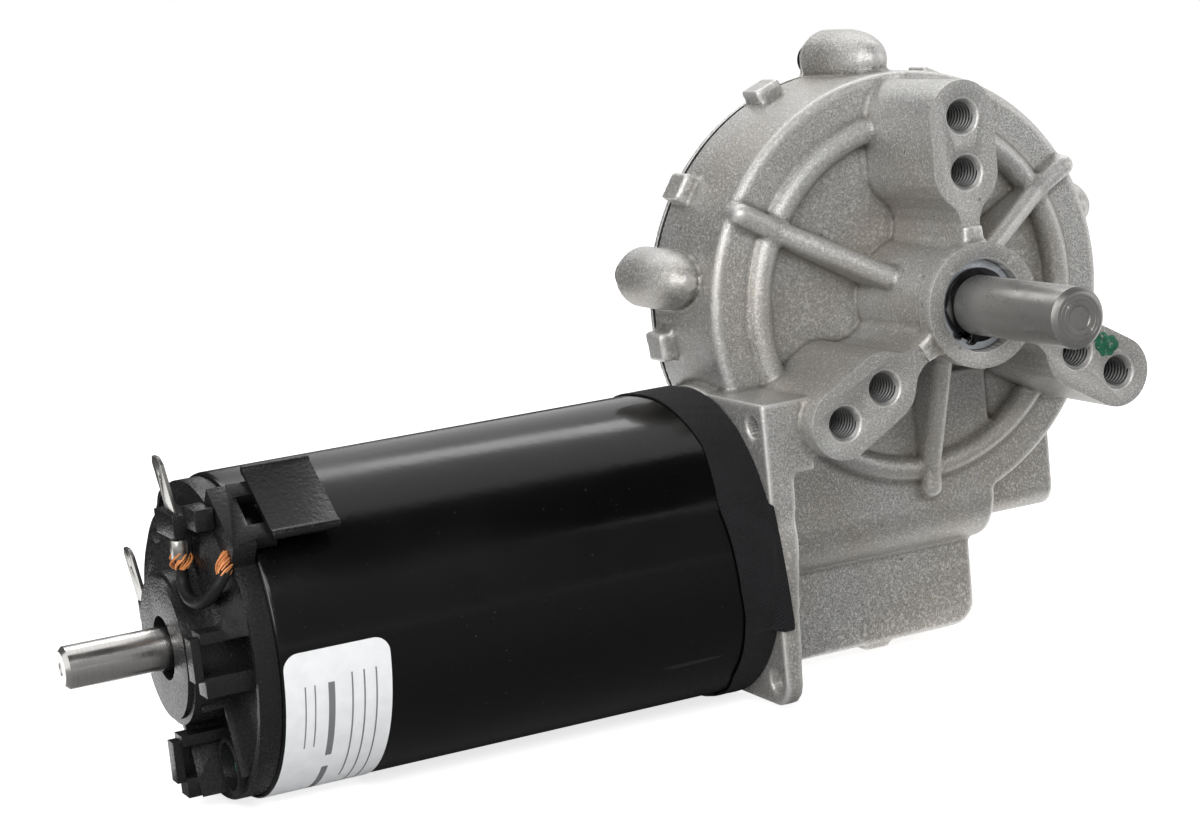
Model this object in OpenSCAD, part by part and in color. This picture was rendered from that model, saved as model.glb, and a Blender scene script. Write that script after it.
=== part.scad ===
// Right-angle dc gear motor: a permanent-magnet motor drives a worm, the worm turns a wheel,
// and the wheel's shaft leaves a die-cast housing with three mounting arms.
// The origin is on the output shaft's axis, in the plane of the mounting pads.
// +X runs along the motor towards the gears, the output shaft points along -Y, and +Z is up.

/* [Mounting pads] */
// Pitch circle of the outer pad holes
pad_outer_pcd = 88; // [84:1:92]
// Pitch circle of the inner pad holes
pad_inner_pcd = 62; // [58:1:66]
// Diameter of a pad hole at the root of its thread
pad_hole_d = 8; // [6:0.5:9]
// Depth of a pad hole
pad_hole_depth = 18; // [12:1:22]
// Width of a mounting arm
arm_w = 17; // [15:0.5:19]
// Width of the web that joins an arm to the hub
arm_neck_w = 4.8; // [4:0.2:7]

/* [Gear housing] */
// Distance from the pad plane back to the housing's front wall
front_wall_y = 28.8; // [28:0.2:29.6]
// Distance from the pad plane back to the housing's rear rim
rear_rim_y = 60.4; // [59.8:0.2:62]
// Outer radius of the gear case
case_r = 54.3; // [54:0.1:56]
// Thickness of the gear case's round wall
case_wall = 4.8; // [4.6:0.1:5.2]
// Thickness of the gear case's front wall
front_wall_t = 5.2; // [4.6:0.1:5.4]
// Depth of the shallow recess inside the ring rib
front_recess = 2.2; // [1:0.2:2.6]
// Middle radius of the ring rib
ring_rib_r = 42.2; // [41:0.2:43]
// Radius of the ring rib's half-round section
ring_rib_half_w = 2.9; // [2:0.1:3.4]
// Radius of a radial rib's round crest
radial_rib_half_w = 2.6; // [2:0.1:3]
// Outer radius of the machined ring round the output shaft
hub_ring_r = 14.75; // [14:0.25:16]
// Height of that ring above the pad plane
hub_ring_proud = 2.75; // [1:0.25:4]
// Radius of the recess in the ring
hub_recess_r = 10.75; // [10:0.25:11.5]
// Depth of the recess in the ring
hub_recess_depth = 4.6; // [4:0.2:6]

/* [Output shaft] */
// Diameter of the output shaft
shaft_d = 14; // [13:0.5:15]
// Distance from the pad plane to the shaft's end
shaft_reach = 41; // [30:1:50]
// Chamfer on the shaft's end
shaft_chamfer = 1.1; // [0.5:0.1:1.8]
// Wall of the two bushes that carry the output shaft
bush_wall = 2; // [1.5:0.1:2.4]
// Radial running clearance of every shaft in its bush or bearing
running_gap = 0.04; // [0.02:0.01:0.08]

/* [Worm drive] */
// Distance from the output shaft's axis to the motor's axis
centre_distance = 51.5; // [51.3:0.1:51.8]
// Distance from the pad plane back to the motor's axis
motor_axis_y = 42; // [41.6:0.1:42.4]
// Number of wheel teeth for the single-start worm
wheel_teeth = 43; // [43:1:43]
// Module of the worm drive
gear_module = 2; // [1.98:0.005:2.01]
// Width of the worm wheel
wheel_w = 13; // [10:0.5:13.5]
// Length of the worm's thread
worm_len = 30; // [24:1:32]
// Backlash between worm thread and wheel tooth, each side
flank_gap = 0.3; // [0.25:0.05:0.4]
// Clearance between tooth tip and root
tip_gap = 0.5; // [0.4:0.05:0.8]

/* [Motor] */
// Distance from the output shaft's axis to the face that the can seats on
can_seat_x = 56.2; // [56:0.2:60]
// Length of the can
can_len = 121.5; // [110:0.5:130]
// Outer radius of the can
can_r = 37; // [36.8:0.1:38]
// Wall of the can
can_wall = 2.5; // [2:0.1:3]
// Half of the square flange's width
flange_half = 36; // [35.5:0.1:36.4]
// Thickness of the flange at its upper edge
flange_t = 7; // [6.4:0.1:7.4]
// Thickness of the flange at its lower edge
flange_low_t = 4; // [3.6:0.1:6]
// Corner radius of the flange
flange_corner_r = 6; // [4:0.5:7]
// Distance between neighbouring corner holes of the flange
flange_pitch = 60.8; // [59:0.2:61]
// Diameter of a corner hole of the flange
flange_hole_d = 5; // [4:0.2:5.4]
// Diameter of the motor's rear shaft end
rear_shaft_d = 9.8; // [9:0.1:10.4]
// Distance from the can's rear rim to the rear shaft's end
rear_shaft_reach = 37.7; // [30:0.5:45]
// Air gap between the laminated core and the magnets
air_gap = 1.3; // [1.1:0.1:2.4]
// Part of the can's length that the laminated core leaves to windings and bearings
core_room = 65.5; // [65:0.5:72]
// Thickness of a magnet
magnet_t = 8.6; // [8:0.1:8.8]
// Length of a magnet
magnet_len = 70; // [60:1:74]
// Number of magnets
magnets = 4; // [2:2:4]
// Distance of a tie bolt's axis from the can's outside
tie_bolt_in = 8; // [7:0.2:9]
// Diameter of a tie bolt
tie_bolt_d = 4; // [3.5:0.1:4.4]

/* [Rear cap] */
// Step from the can's outside in to the cap's rim
cap_inset = 0.8; // [0.6:0.1:1.4]
// Thickness of the cap's plate
cap_plate_t = 2.8; // [2.4:0.1:3.4]
// Radius of the central boss
cap_boss_r = 16.2; // [15.4:0.1:17]
// Distance from the can's rear rim to the boss's face
cap_boss_reach = 14.2; // [13.4:0.1:16]
// Radius of the bore in the boss
cap_bore_r = 7.3; // [6.6:0.1:7.6]
// Height of the dome that carries the terminals
cap_dome_h = 9.4; // [8:0.1:10.4]

/* [Terminals and switch] */
// Width of a blade terminal
blade_w = 6.3; // [4.8:0.1:6.4]
// Thickness of a blade terminal
blade_t = 0.8; // [0.6:0.1:1]
// Length of a blade terminal above its block
blade_len = 13; // [9:0.5:15]
// Width of the switch cover along the motor
switch_cover_w = 15.4; // [14:0.1:17]
// Width of the switch cover round the can
switch_cover_h = 19.6; // [18:0.1:21]
// Thickness of the switch cover
switch_cover_t = 1.4; // [1:0.1:1.8]
// Gap between the can and the switch cover's underside
switch_standoff = 4.4; // [4:0.1:5]

/* [Trim] */
// Width of the cloth tape round the can's front end
tape_w = 13; // [10:0.5:16]
// Thickness of the wound tape
tape_t = 0.8; // [0.4:0.1:1.2]
// Length of the label along the can
label_len = 24.5; // [18:0.5:30]
// Angle that the label covers round the can
label_sweep = 132; // [90:1:150]
// Thickness of the label
label_t = 0.2; // [0.1:0.05:0.3]

/* [Hidden] */
$fn = 64;
eps = 0.01;
press_gap = 0.02;

motor_z = -centre_distance;
flange_front_x = -can_seat_x + flange_t;
can_rear_x = -can_seat_x - can_len;
shaft_r = shaft_d / 2;
can_inner_r = can_r - can_wall;
cap_r = can_r - cap_inset;
tie_bolt_r = can_r - tie_bolt_in;
core_r = can_inner_r - magnet_t - air_gap;
core_len = can_len - core_room;
bush_r = shaft_r + bush_wall;
recess_floor_y = hub_recess_depth - hub_ring_proud;

// Gear case
cavity_r = case_r - case_wall;
cavity_y = front_wall_y + front_wall_t;
case_edge_r = 1.2;
arm_angles = [90, 210, 330];
arm_end_r = arm_w / 2;
neck_flare_w = 8.4;
hub_barrel_r = 13.4;
hub_base_r = 14.6;
radial_rib_angles = [150, 30, 270];
radial_rib_ends = [52.2, 52.2, 47];
radial_rib_crest_y = 24.6;
radial_rib_hub_y = 14.6;
radial_rib_cut = 20;
ring_rib_crest_drop = 3.2;

// Screw bosses and lugs on the case's rim
screw_angles = [169, 90, 14, 232, 308];
screw_hole_wall = 0.5;
screw_boss_r = 7.4;
screw_boss_len = 10;
screw_boss_nose = 15;
screw_d = 5;
screw_depth = 12;
screw_circle_r = case_r + screw_d / 2 + screw_hole_wall;
screw_head_r = 4.2;
screw_head_h = 4.6;
screw_socket_r = 2.3;
screw_socket_depth = 2.4;
screw_hole_gap = 0.5;
lug_angles = [186, 146, 112.5, 63, 38];
lug_w = 7;
lug_out = 3.6;
lug_y0 = rear_rim_y - 9.4;
lug_y1 = rear_rim_y - 1;

// Worm tube below the case, and the deep box under it
tube_wall = 2.2;
bearing_r = 11;
tube_r = motor_axis_y - front_wall_y;
tube_end_x = 19;
end_box_x = 39.6;
end_box_half = 8.2;
end_box_corner = 5.6;
box_front_y = 37.6;
box_bottom_z = -86;
box_right_x = 16;
box_corner_r = 6.5;
box_wall = 3;
box_depth = 40;
box_tab_w = 7;
box_tab_h = 1.6;
gusset_right_x = -43.6;
gusset_drop = 17;
bell_r = 28;
bell_depth = 2.6;
spigot_len = 4;
spigot_wall = 4;
seat_gap = 0.05;

// Cover and gasket
gasket_t = 0.6;
cover_y0 = rear_rim_y + gasket_t;
cover_t = 1.8;
cover_lobe_r = 6.4;
cover_boss_r = 13;
cover_boss_h = 7;
cover_rib_h = 3;
cover_ribs = 6;
cover_rib_w = 3;
cover_rib_end = 6;

// Output shaft assembly
washer_t = 1;
circlip_t = 1.1;
groove_depth = 0.7;
washer_y0 = recess_floor_y - washer_t;
circlip_y0 = washer_y0 - 0.3 - circlip_t;
wheel_y0 = motor_axis_y - wheel_w / 2;
wheel_y1 = motor_axis_y + wheel_w / 2;
hub_step = 4;
hub_end_y = wheel_y1 + hub_step;
rear_bush_y0 = hub_end_y + 1.4;
rear_bush_y1 = cover_y0 + cover_t + cover_boss_h - 3;
cover_boss_y0 = rear_bush_y0;
shaft_rear_y = rear_bush_y1 - 1;
wheel_hub_r = 31;
wheel_web_t = 6;
wheel_boss_r = 13;
thrust_t = 1;

// Worm gearing
wheel_pitch_r = gear_module * wheel_teeth / 2;
worm_pitch_r = centre_distance - wheel_pitch_r;
worm_tip_r = worm_pitch_r + gear_module;
worm_root_r = worm_pitch_r - gear_module - tip_gap;
wheel_tip_r = wheel_pitch_r + gear_module;
wheel_root_r = wheel_pitch_r - gear_module - tip_gap;
axial_pitch = PI * gear_module;
lead_angle = atan(axial_pitch / (2 * PI * worm_pitch_r));
pressure_slope = tan(20);
tooth_half = axial_pitch / 4 - flank_gap;
thread_step = 18;

// Armature
worm_shaft_r = 4;
worm_end_r = 3;
end_bush_r = 5.6;
end_bush_x0 = tube_end_x + 4;
end_bush_len = 12;
front_bearing_x0 = -47;
bearing_w = 7;
rear_bearing_r = 13;
rear_bearing_w = 8;
rear_shaft_r = rear_shaft_d / 2;
rear_seat_step = 1.1;
rear_seat_in = 4;
rear_seat_r = rear_shaft_r + rear_seat_step;
shaft_end_chamfer = 1;
rear_tip_x = can_rear_x - rear_shaft_reach;
core_front_gap = 26;
core_x0 = -can_seat_x - core_front_gap - core_len;
core_x1 = core_x0 + core_len;
core_slots = 12;
slot_w = 2.4;
slot_depth = 8;
core_bore_r = 6;
winding_len = 12;
winding_drop = 3;
winding_step = 5;
winding_r = core_r - winding_drop;
commutator_r = 12.5;
commutator_len = 18;
commutator_bars = 12;
bar_slot_w = 0.6;
bar_slot_depth = 2.4;
bar_end = 2;
commutator_x0 = core_x0 - winding_len - 3 - commutator_len;
magnet_sweep = 62;
magnet_x0 = (core_x0 + core_x1 - magnet_len) / 2;
tie_angle = -65.8;
magnet_phase = tie_angle + 180 / magnets;

// Rear cap
cap_plate_x = can_rear_x - cap_plate_t;
cap_spigot_len = 5;
cap_spigot_wall = 3;
cap_rim_h = 2.2;
cap_rim_wall = 1.8;
boss_face_x = can_rear_x - cap_boss_reach;
dome_x = can_rear_x - cap_dome_h;
dome_r = 28.4;
dome_mid_r = 33;
dome_start = 12;
dome_end = 190;
rib_offset = 8;
cap_rib_t = 1.2;
pocket_r = 5.4;
pocket_wall = 1.2;
tie_head_r = 4;
tie_head_h = 3;
boss_step_r = 17.6;
boss_step_x = boss_face_x + 1.2;
guide_top_h = 2.4;
guide_gap_h = 7.4;
guide_foot_h = 4.4;
guide_depth = 5.4;
guide_web_t = 2;
guide_x = boss_face_x - 1.6;
guide_lip_x = boss_face_x + 0.2;
// Near side in Y and top in Z of both guides
guides = [[13.8, -43.4], [38, -71.2]];

// Brush gear
brush_w = 7;
brush_h = 6;
brush_angles = [0, -90];
plate_x0 = can_rear_x + cap_spigot_len;
plate_t = 1.6;
plate_gap = 1.5;
plate_x1 = plate_x0 + plate_t;
holder_wall = 1;
brush_x = plate_x1 + holder_wall + brush_w / 2;
brush_inner_r = commutator_r + 0.3;
brush_len = 11;
brush_outer_r = brush_inner_r + brush_len;
holder_inner_r = brush_inner_r + 2.5;
holder_gap = 1.5;
holder_outer_r = can_inner_r - holder_gap;
spring_wire_r = 0.5;
spring_turns = 5;

// Terminals, lead and switch
block_x0 = dome_x - 3.6;
block_x1 = dome_x + 2;
block_y0 = 26.6;
block_y1 = 40;
block_z0 = -25;
block_z1 = -19.6;
tip_x0 = dome_x - 1;
tip_y0 = 18.6;
tip_z0 = -22.6;
tip_z1 = -17.8;
blade_y = 30.6;
blade_x = dome_x - 2.2;
far_block_y = 63.5;
far_block_z = -50;
far_block_h = 5;
far_block_w = 6.6;
far_block_out = 2.6;
ferrule_r = 2.1;
ferrule_len = 4.2;
ferrule_x = dome_x - 2.5;
ferrule_y = 27.4;
lead_r = 1.5;
lead_sides = 8;
switch_angle = 52.5;
switch_x0 = can_rear_x + 3;
bracket_x0 = can_rear_x - 5.7;
bracket_x1 = can_rear_x - 0.3;
bracket_r0 = can_r - 6;
bracket_gap = 0.3;
bracket_over = 0.6;
bracket_back = 2;
foot_inset = 1;
foot_w = 4;
foot_reach = 2;
tip_x1 = bracket_x0 - bracket_gap;
switch_r = can_r + switch_standoff;
// Points of the lead, from the ferrule to the bracket, with X counted from the can's rear rim
lead_points = [
    [-11.9, 27.4, -29.2], [-11.9, 27.9, -32], [-12.1, 27.4, -34.8], [-12.2, 25, -37], [-12.1, 21.4, -37.8],
    [-11.5, 17.4, -37.4], [-10.5, 14.4, -36], [-9.3, 12.8, -34], [-7.7, 12.6, -31.8], [-5.7, 14.4, -29.4]
];

// Placing: an outline drawn in X and Z, made solid from y0 to y1
module along_y(y0, y1) {
    translate([0, y1, 0]) rotate([90, 0, 0]) linear_extrude(y1 - y0) children();
}

// Placing: an outline drawn in Y and Z, made solid from x0 to x1
module along_x(x0, x1) {
    translate([x0, 0, 0]) rotate([90, 0, 90]) linear_extrude(x1 - x0) children();
}

// A round bar along Y on the output axis
module bar_y(y0, y1, r) {
    translate([0, y0, 0]) rotate([-90, 0, 0]) cylinder(h = y1 - y0, r = r);
}

// A round bar along X on the motor's axis
module bar_x(x0, x1, r) {
    translate([x0, motor_axis_y, motor_z]) rotate([0, 90, 0]) cylinder(h = x1 - x0, r = r);
}

// A tube along X on the motor's axis
module tube_x(x0, x1, outer, inner) {
    difference() {
        bar_x(x0, x1, outer);
        bar_x(x0 - eps, x1 + eps, inner);
    }
}

// Turning about the output axis, with 0 along +X and 90 along +Z
module about_output(angle) {
    rotate([0, -angle, 0]) children();
}

// Turning about the motor's axis: the children's -Y side turns to the angle, towards +Z
module about_motor(angle) {
    translate([0, motor_axis_y, motor_z]) rotate([-angle, 0, 0]) children();
}

// Outline of a square with rounded corners
module rounded_square(half, r) {
    square([2 * half, 2 * (half - r)], center = true);
    square([2 * (half - r), 2 * half], center = true);
    for (sx = [-1, 1], sy = [-1, 1]) {
        translate([sx * (half - r), sy * (half - r)]) circle(r = r);
    }
}

// Outline of one mounting arm, along +X from the hub
module arm_outline() {
    inner = pad_inner_pcd / 2;
    outer = pad_outer_pcd / 2;
    translate([inner, 0]) circle(r = arm_end_r);
    translate([outer, 0]) circle(r = arm_end_r);
    translate([inner, -arm_end_r]) square([outer - inner, 2 * arm_end_r]);
    polygon([
        [inner - arm_end_r * 0.7, arm_end_r * 0.71], [inner - arm_end_r, arm_neck_w * 0.72],
        [inner - arm_end_r - 3, arm_neck_w / 2], [hub_barrel_r + 2.4, arm_neck_w * 0.56],
        [hub_barrel_r - 1, neck_flare_w / 2], [hub_barrel_r - 1, -neck_flare_w / 2],
        [hub_barrel_r + 2.4, -arm_neck_w * 0.56], [inner - arm_end_r - 3, -arm_neck_w / 2],
        [inner - arm_end_r, -arm_neck_w * 0.72], [inner - arm_end_r * 0.7, -arm_end_r * 0.71]
    ]);
}

// A round-crested radial rib that climbs to the hub, along +X
module radial_rib(end_r) {
    run = end_r - hub_barrel_r;
    rise = radial_rib_crest_y - radial_rib_hub_y;
    slope = atan(rise / (ring_rib_r - hub_barrel_r));
    crest_y = radial_rib_crest_y + radial_rib_half_w;
    intersection() {
        union() {
            translate([end_r, crest_y, 0]) sphere(r = radial_rib_half_w);
            translate([end_r, crest_y, 0]) rotate([-90, 0, 0]) cylinder(h = 6, r = radial_rib_half_w);
            translate([ring_rib_r, crest_y, 0])
                rotate([0, 90, 0]) cylinder(h = end_r - ring_rib_r, r = radial_rib_half_w);
            translate([ring_rib_r, crest_y, -radial_rib_half_w])
                cube([end_r - ring_rib_r, 6, 2 * radial_rib_half_w]);
            translate([ring_rib_r, crest_y, 0]) sphere(r = radial_rib_half_w);
            translate([ring_rib_r, crest_y, 0]) rotate([0, 0, slope]) {
                rotate([0, -90, 0]) cylinder(h = run / cos(slope), r = radial_rib_half_w);
                translate([-run / cos(slope), 0, -radial_rib_half_w])
                    cube([run / cos(slope), 30, 2 * radial_rib_half_w]);
            }
        }
        translate([0, 0, -radial_rib_cut])
            cube([end_r + radial_rib_cut, front_wall_y + front_recess + 1, 2 * radial_rib_cut]);
    }
}

// A screw boss with a rounded nose, on the case's rim
module screw_boss(angle) {
    steps = 7;
    nose = [for (i = [0 : steps]) [
        screw_boss_r * sqrt(1 - pow(i / steps * 0.98, 2)),
        screw_boss_len + screw_boss_nose * i / steps
    ]];
    about_output(angle) translate([screw_circle_r, rear_rim_y, 0]) rotate([90, 0, 0])
        rotate_extrude($fn = 40)
            polygon(concat([[0, 0], [screw_boss_r, 0]], nose, [[0, screw_boss_len + screw_boss_nose]]));
}

// The worm tube's outline in Y and Z, open upwards into the case
module tube_outline(r, top_z) {
    translate([motor_axis_y, motor_z]) circle(r = r);
    translate([motor_axis_y - r, motor_z]) square([2 * r, top_z - motor_z]);
}

// Everything cast, before the cavities are taken out
module housing_body() {
    front_y = front_wall_y;
    // Round case with an eased front edge and a shallow recess inside the ring rib
    difference() {
        translate([0, front_y, 0]) rotate([-90, 0, 0]) rotate_extrude($fn = 128) polygon([
            [0, 0], [case_r - case_edge_r, 0], [case_r, case_edge_r],
            [case_r, rear_rim_y - front_y], [0, rear_rim_y - front_y]
        ]);
        bar_y(front_y - eps, front_y + front_recess, ring_rib_r);
    }
    // Ring rib
    translate([0, front_y, 0]) rotate([90, 0, 0]) rotate_extrude($fn = 128)
        translate([ring_rib_r, 0]) intersection() {
            union() {
                circle(r = ring_rib_half_w, $fn = 32);
                translate([-ring_rib_half_w, -front_recess - 1]) square([2 * ring_rib_half_w, front_recess + 1]);
            }
            translate([-ring_rib_half_w, -front_recess - 1])
                square([2 * ring_rib_half_w, front_recess + 1 + ring_rib_crest_drop]);
        }
    for (i = [0 : 2]) about_output(radial_rib_angles[i]) radial_rib(radial_rib_ends[i]);
    // Hub barrel, its machined ring and the fillet at its foot
    translate([0, front_y + front_recess + 1, 0]) rotate([90, 0, 0])
        cylinder(h = front_y + front_recess + 1, r1 = hub_base_r, r2 = hub_barrel_r);
    bar_y(-hub_ring_proud, 3, hub_ring_r);
    // Arms
    for (a = arm_angles) about_output(a)
        along_y(0, front_y + front_recess + 1) arm_outline();
    for (a = screw_angles) screw_boss(a);
    // Small lugs on the rim
    for (a = lug_angles) about_output(a) translate([case_r - 2, lug_y0, -lug_w / 2])
        cube([lug_out + 2, lug_y1 - lug_y0, lug_w]);
}

// Outline of the flange: square with rounded corners in front, round behind
module flange_outline() {
    circle(r = can_r);
    intersection() {
        rounded_square(flange_half, flange_corner_r);
        translate([-2 * can_r, -can_r]) square([2 * can_r, 2 * can_r]);
    }
}

// Flange, gusset, worm tube and the deep box, before the cavities are taken out
module motor_end_body() {
    // The flange thins towards its lower edge
    intersection() {
        along_x(-can_seat_x, flange_front_x) translate([motor_axis_y, motor_z]) flange_outline();
        along_y(motor_axis_y - 2 * can_r, motor_axis_y + 2 * can_r) polygon([
            [-can_seat_x - 1, motor_z - can_r - 1], [-can_seat_x + flange_low_t, motor_z - can_r - 1],
            [flange_front_x, motor_z + flange_half / 2], [flange_front_x, motor_z + can_r + 1],
            [-can_seat_x - 1, motor_z + can_r + 1]
        ]);
    }
    tube_x(-can_seat_x - spigot_len, -can_seat_x + eps, can_inner_r - seat_gap,
        can_inner_r - spigot_wall);
    // Gusset that ties the arm to the flange
    gusset_y0 = motor_axis_y - flange_half;
    gusset_top = motor_z + flange_half;
    translate([-can_seat_x, gusset_y0, gusset_top - gusset_drop])
        cube([gusset_right_x + can_seat_x, front_wall_y + 2 - gusset_y0, gusset_drop]);
    // Worm tube, flush with the case's front wall
    along_x(flange_front_x - 1, tube_end_x) tube_outline(tube_r, -20);
    // Box round the worm's end bush
    along_x(tube_end_x - 1, end_box_x)
        translate([motor_axis_y, motor_z]) rounded_square(end_box_half, end_box_corner);
    along_x(tube_end_x - 1, end_box_x)
        translate([motor_axis_y - end_box_half, motor_z]) square([2 * end_box_half, 24]);
    // Deep box under the tube
    along_y(box_front_y, rear_rim_y) {
        translate([flange_front_x - 1, box_bottom_z + box_corner_r])
            square([box_right_x - flange_front_x + 1, motor_z - box_bottom_z - box_corner_r]);
        translate([flange_front_x - 1, box_bottom_z])
            square([box_right_x - flange_front_x + 1 - box_corner_r, box_corner_r + 1]);
        translate([box_right_x - box_corner_r, box_bottom_z + box_corner_r]) circle(r = box_corner_r);
    }
    for (x = [flange_front_x + 4, -16]) translate([x, box_front_y + 1, box_bottom_z - box_tab_h])
        cube([box_tab_w, 8, box_tab_h + 1]);
}

// The bell, bores and chambers inside the casting
module housing_cavities() {
    // Gear chamber, open at the back
    bar_y(cavity_y, rear_rim_y + 1, cavity_r);
    // Hub bore and recess
    bar_y(-hub_ring_proud - 1, recess_floor_y, hub_recess_r);
    bar_y(-hub_ring_proud - 1, cavity_y + 1, bush_r);
    // Bell for the motor's front end, bearing seat and worm chamber
    bar_x(-can_seat_x - 10, -can_seat_x + bell_depth, bell_r);
    bar_x(-can_seat_x - 10, tube_end_x - tube_wall, bearing_r);
    bar_x(-1, end_bush_x0 + end_bush_len, end_bush_r);
    // Deep box, open at the back
    translate([flange_front_x + box_wall, box_front_y + box_wall, box_bottom_z + box_wall])
        cube([
            box_right_x - flange_front_x - 2 * box_wall,
            box_depth,
            motor_z - tube_r - box_wall - box_bottom_z
        ]);
    // Tapped holes of the pads
    for (a = arm_angles, d = [pad_outer_pcd, pad_inner_pcd]) about_output(a)
        translate([d / 2, 0, 0]) rotate([-90, 0, 0]) translate([0, 0, -1])
            cylinder(h = pad_hole_depth + 1, d = pad_hole_d);
    // Holes of the flange
    for (sz = [-1, 1])
        translate([-can_seat_x - 1, motor_axis_y - flange_pitch / 2, motor_z + sz * flange_pitch / 2])
            rotate([0, 90, 0]) cylinder(h = flange_t + 20, d = flange_hole_d);
    // Holes of the cover screws
    for (a = screw_angles) about_output(a) translate([screw_circle_r, rear_rim_y + 1, 0])
        rotate([90, 0, 0]) cylinder(h = screw_depth + 1, d = screw_d);
    // Holes of the tie bolts
    for (a = [tie_angle, tie_angle + 180]) about_motor(a)
        translate([-can_seat_x - 10, -tie_bolt_r, 0]) rotate([0, 90, 0])
            cylinder(h = 10 + flange_t - 1.4, d = tie_bolt_d + 0.2);
}

// Die-cast gear housing with mounting arms
module gear_housing() {
    color("silver") difference() {
        union() {
            housing_body();
            motor_end_body();
        }
        housing_cavities();
    }
}

// Outline of the rear cover and its gasket
module cover_outline() {
    circle(r = case_r, $fn = 128);
    for (a = screw_angles) rotate(a) {
        translate([screw_circle_r, 0]) circle(r = cover_lobe_r);
        translate([cavity_r, -cover_lobe_r]) square([screw_circle_r - cavity_r, 2 * cover_lobe_r]);
    }
    translate([flange_front_x + 1, box_bottom_z + box_corner_r])
        square([box_right_x - flange_front_x - 1, motor_z - box_bottom_z - box_corner_r]);
    translate([flange_front_x + 1, box_bottom_z])
        square([box_right_x - flange_front_x - 1 - box_corner_r, box_corner_r + 1]);
    translate([box_right_x - box_corner_r, box_bottom_z + box_corner_r]) circle(r = box_corner_r);
}

// Rear cover with a boss for the shaft's rear bush and low ribs
module rear_cover() {
    color("gainsboro") difference() {
        union() {
            along_y(cover_y0, cover_y0 + cover_t) cover_outline();
            bar_y(cover_boss_y0, cover_y0 + cover_t + cover_boss_h, cover_boss_r);
            for (i = [0 : cover_ribs - 1]) about_output(30 + i * 360 / cover_ribs)
                translate([cover_boss_r - 1, cover_y0 + cover_t - eps, -cover_rib_w / 2])
                    cube([case_r - cover_boss_r - cover_rib_end, cover_rib_h, cover_rib_w]);
        }
        bar_y(cover_boss_y0 - 1, rear_bush_y1, bush_r);
        for (a = screw_angles) about_output(a) translate([screw_circle_r, cover_y0 - 1, 0])
            rotate([-90, 0, 0]) cylinder(h = cover_t + 2, d = screw_d + screw_hole_gap);
    }
}

// Gasket between housing and cover
module cover_gasket() {
    color([0.1, 0.1, 0.1]) along_y(rear_rim_y, cover_y0) difference() {
        cover_outline();
        circle(r = cavity_r, $fn = 128);
        for (a = screw_angles) rotate(a) translate([screw_circle_r, 0]) circle(d = screw_d + screw_hole_gap);
        translate([flange_front_x + box_wall, box_bottom_z + box_wall])
            square([box_right_x - flange_front_x - 2 * box_wall, motor_z - tube_r - box_wall - box_bottom_z]);
    }
}

// Black cap screws of the cover
module cover_screws() {
    color([0.12, 0.12, 0.12]) for (a = screw_angles) about_output(a)
        translate([screw_circle_r, cover_y0 + cover_t, 0]) rotate([90, 0, 0]) difference() {
            union() {
                translate([0, 0, -screw_head_h]) cylinder(h = screw_head_h, r = screw_head_r);
                cylinder(h = cover_t + gasket_t + screw_depth - 1, d = screw_d - 0.1);
            }
            translate([0, 0, -screw_head_h - 1])
                cylinder(h = screw_socket_depth + 1, r = screw_socket_r, $fn = 6);
        }
}

// Bronze bushes of the output shaft
module bush(y0, y1) {
    difference() {
        bar_y(y0, y1, bush_r);
        bar_y(y0 - 1, y1 + 1, shaft_r + running_gap);
    }
}

module front_bush() {
    color("peru") bush(recess_floor_y, cavity_y);
}

module rear_bush() {
    color("peru") bush(rear_bush_y0, rear_bush_y1);
}

// Zinc-plated washer in the hub's recess
module hub_washer() {
    color([0.8, 0.85, 0.9]) difference() {
        bar_y(washer_y0, recess_floor_y, hub_recess_r - 0.1);
        bar_y(washer_y0 - 1, recess_floor_y + 1, shaft_r + 0.3);
    }
}

// Black external ring in the shaft's groove, with two eyes
module shaft_circlip() {
    color([0.08, 0.08, 0.08]) along_y(circlip_y0, circlip_y0 + circlip_t) difference() {
        union() {
            circle(r = shaft_r + 1.7);
            for (a = [228, 252]) rotate(a) translate([shaft_r + 1.1, 0]) circle(r = 1.5);
        }
        circle(r = shaft_r - groove_depth + 0.05);
        rotate(240) translate([0, -1.1]) square([20, 2.2]);
        for (a = [228, 252]) rotate(a) translate([shaft_r + 1.3, 0]) circle(r = 0.6);
    }
}

// Output shaft with chamfered end, ring groove and two flats for the wheel hub
module output_shaft() {
    color("lightgray") difference() {
        union() {
            bar_y(-shaft_reach + shaft_chamfer, shaft_rear_y, shaft_r);
            translate([0, -shaft_reach, 0]) rotate([-90, 0, 0])
                cylinder(h = shaft_chamfer + eps, r1 = shaft_r - shaft_chamfer, r2 = shaft_r);
        }
        difference() {
            bar_y(circlip_y0 - 0.05, circlip_y0 + circlip_t + 0.05, shaft_r + 1);
            bar_y(circlip_y0 - 1, circlip_y0 + circlip_t + 1, shaft_r - groove_depth);
        }
        for (s = [-1, 1]) translate([s * (shaft_r - 0.8) + (s < 0 ? -2 : 0), wheel_y0, -10])
            cube([2, hub_end_y - wheel_y0, 20]);
    }
}

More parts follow.
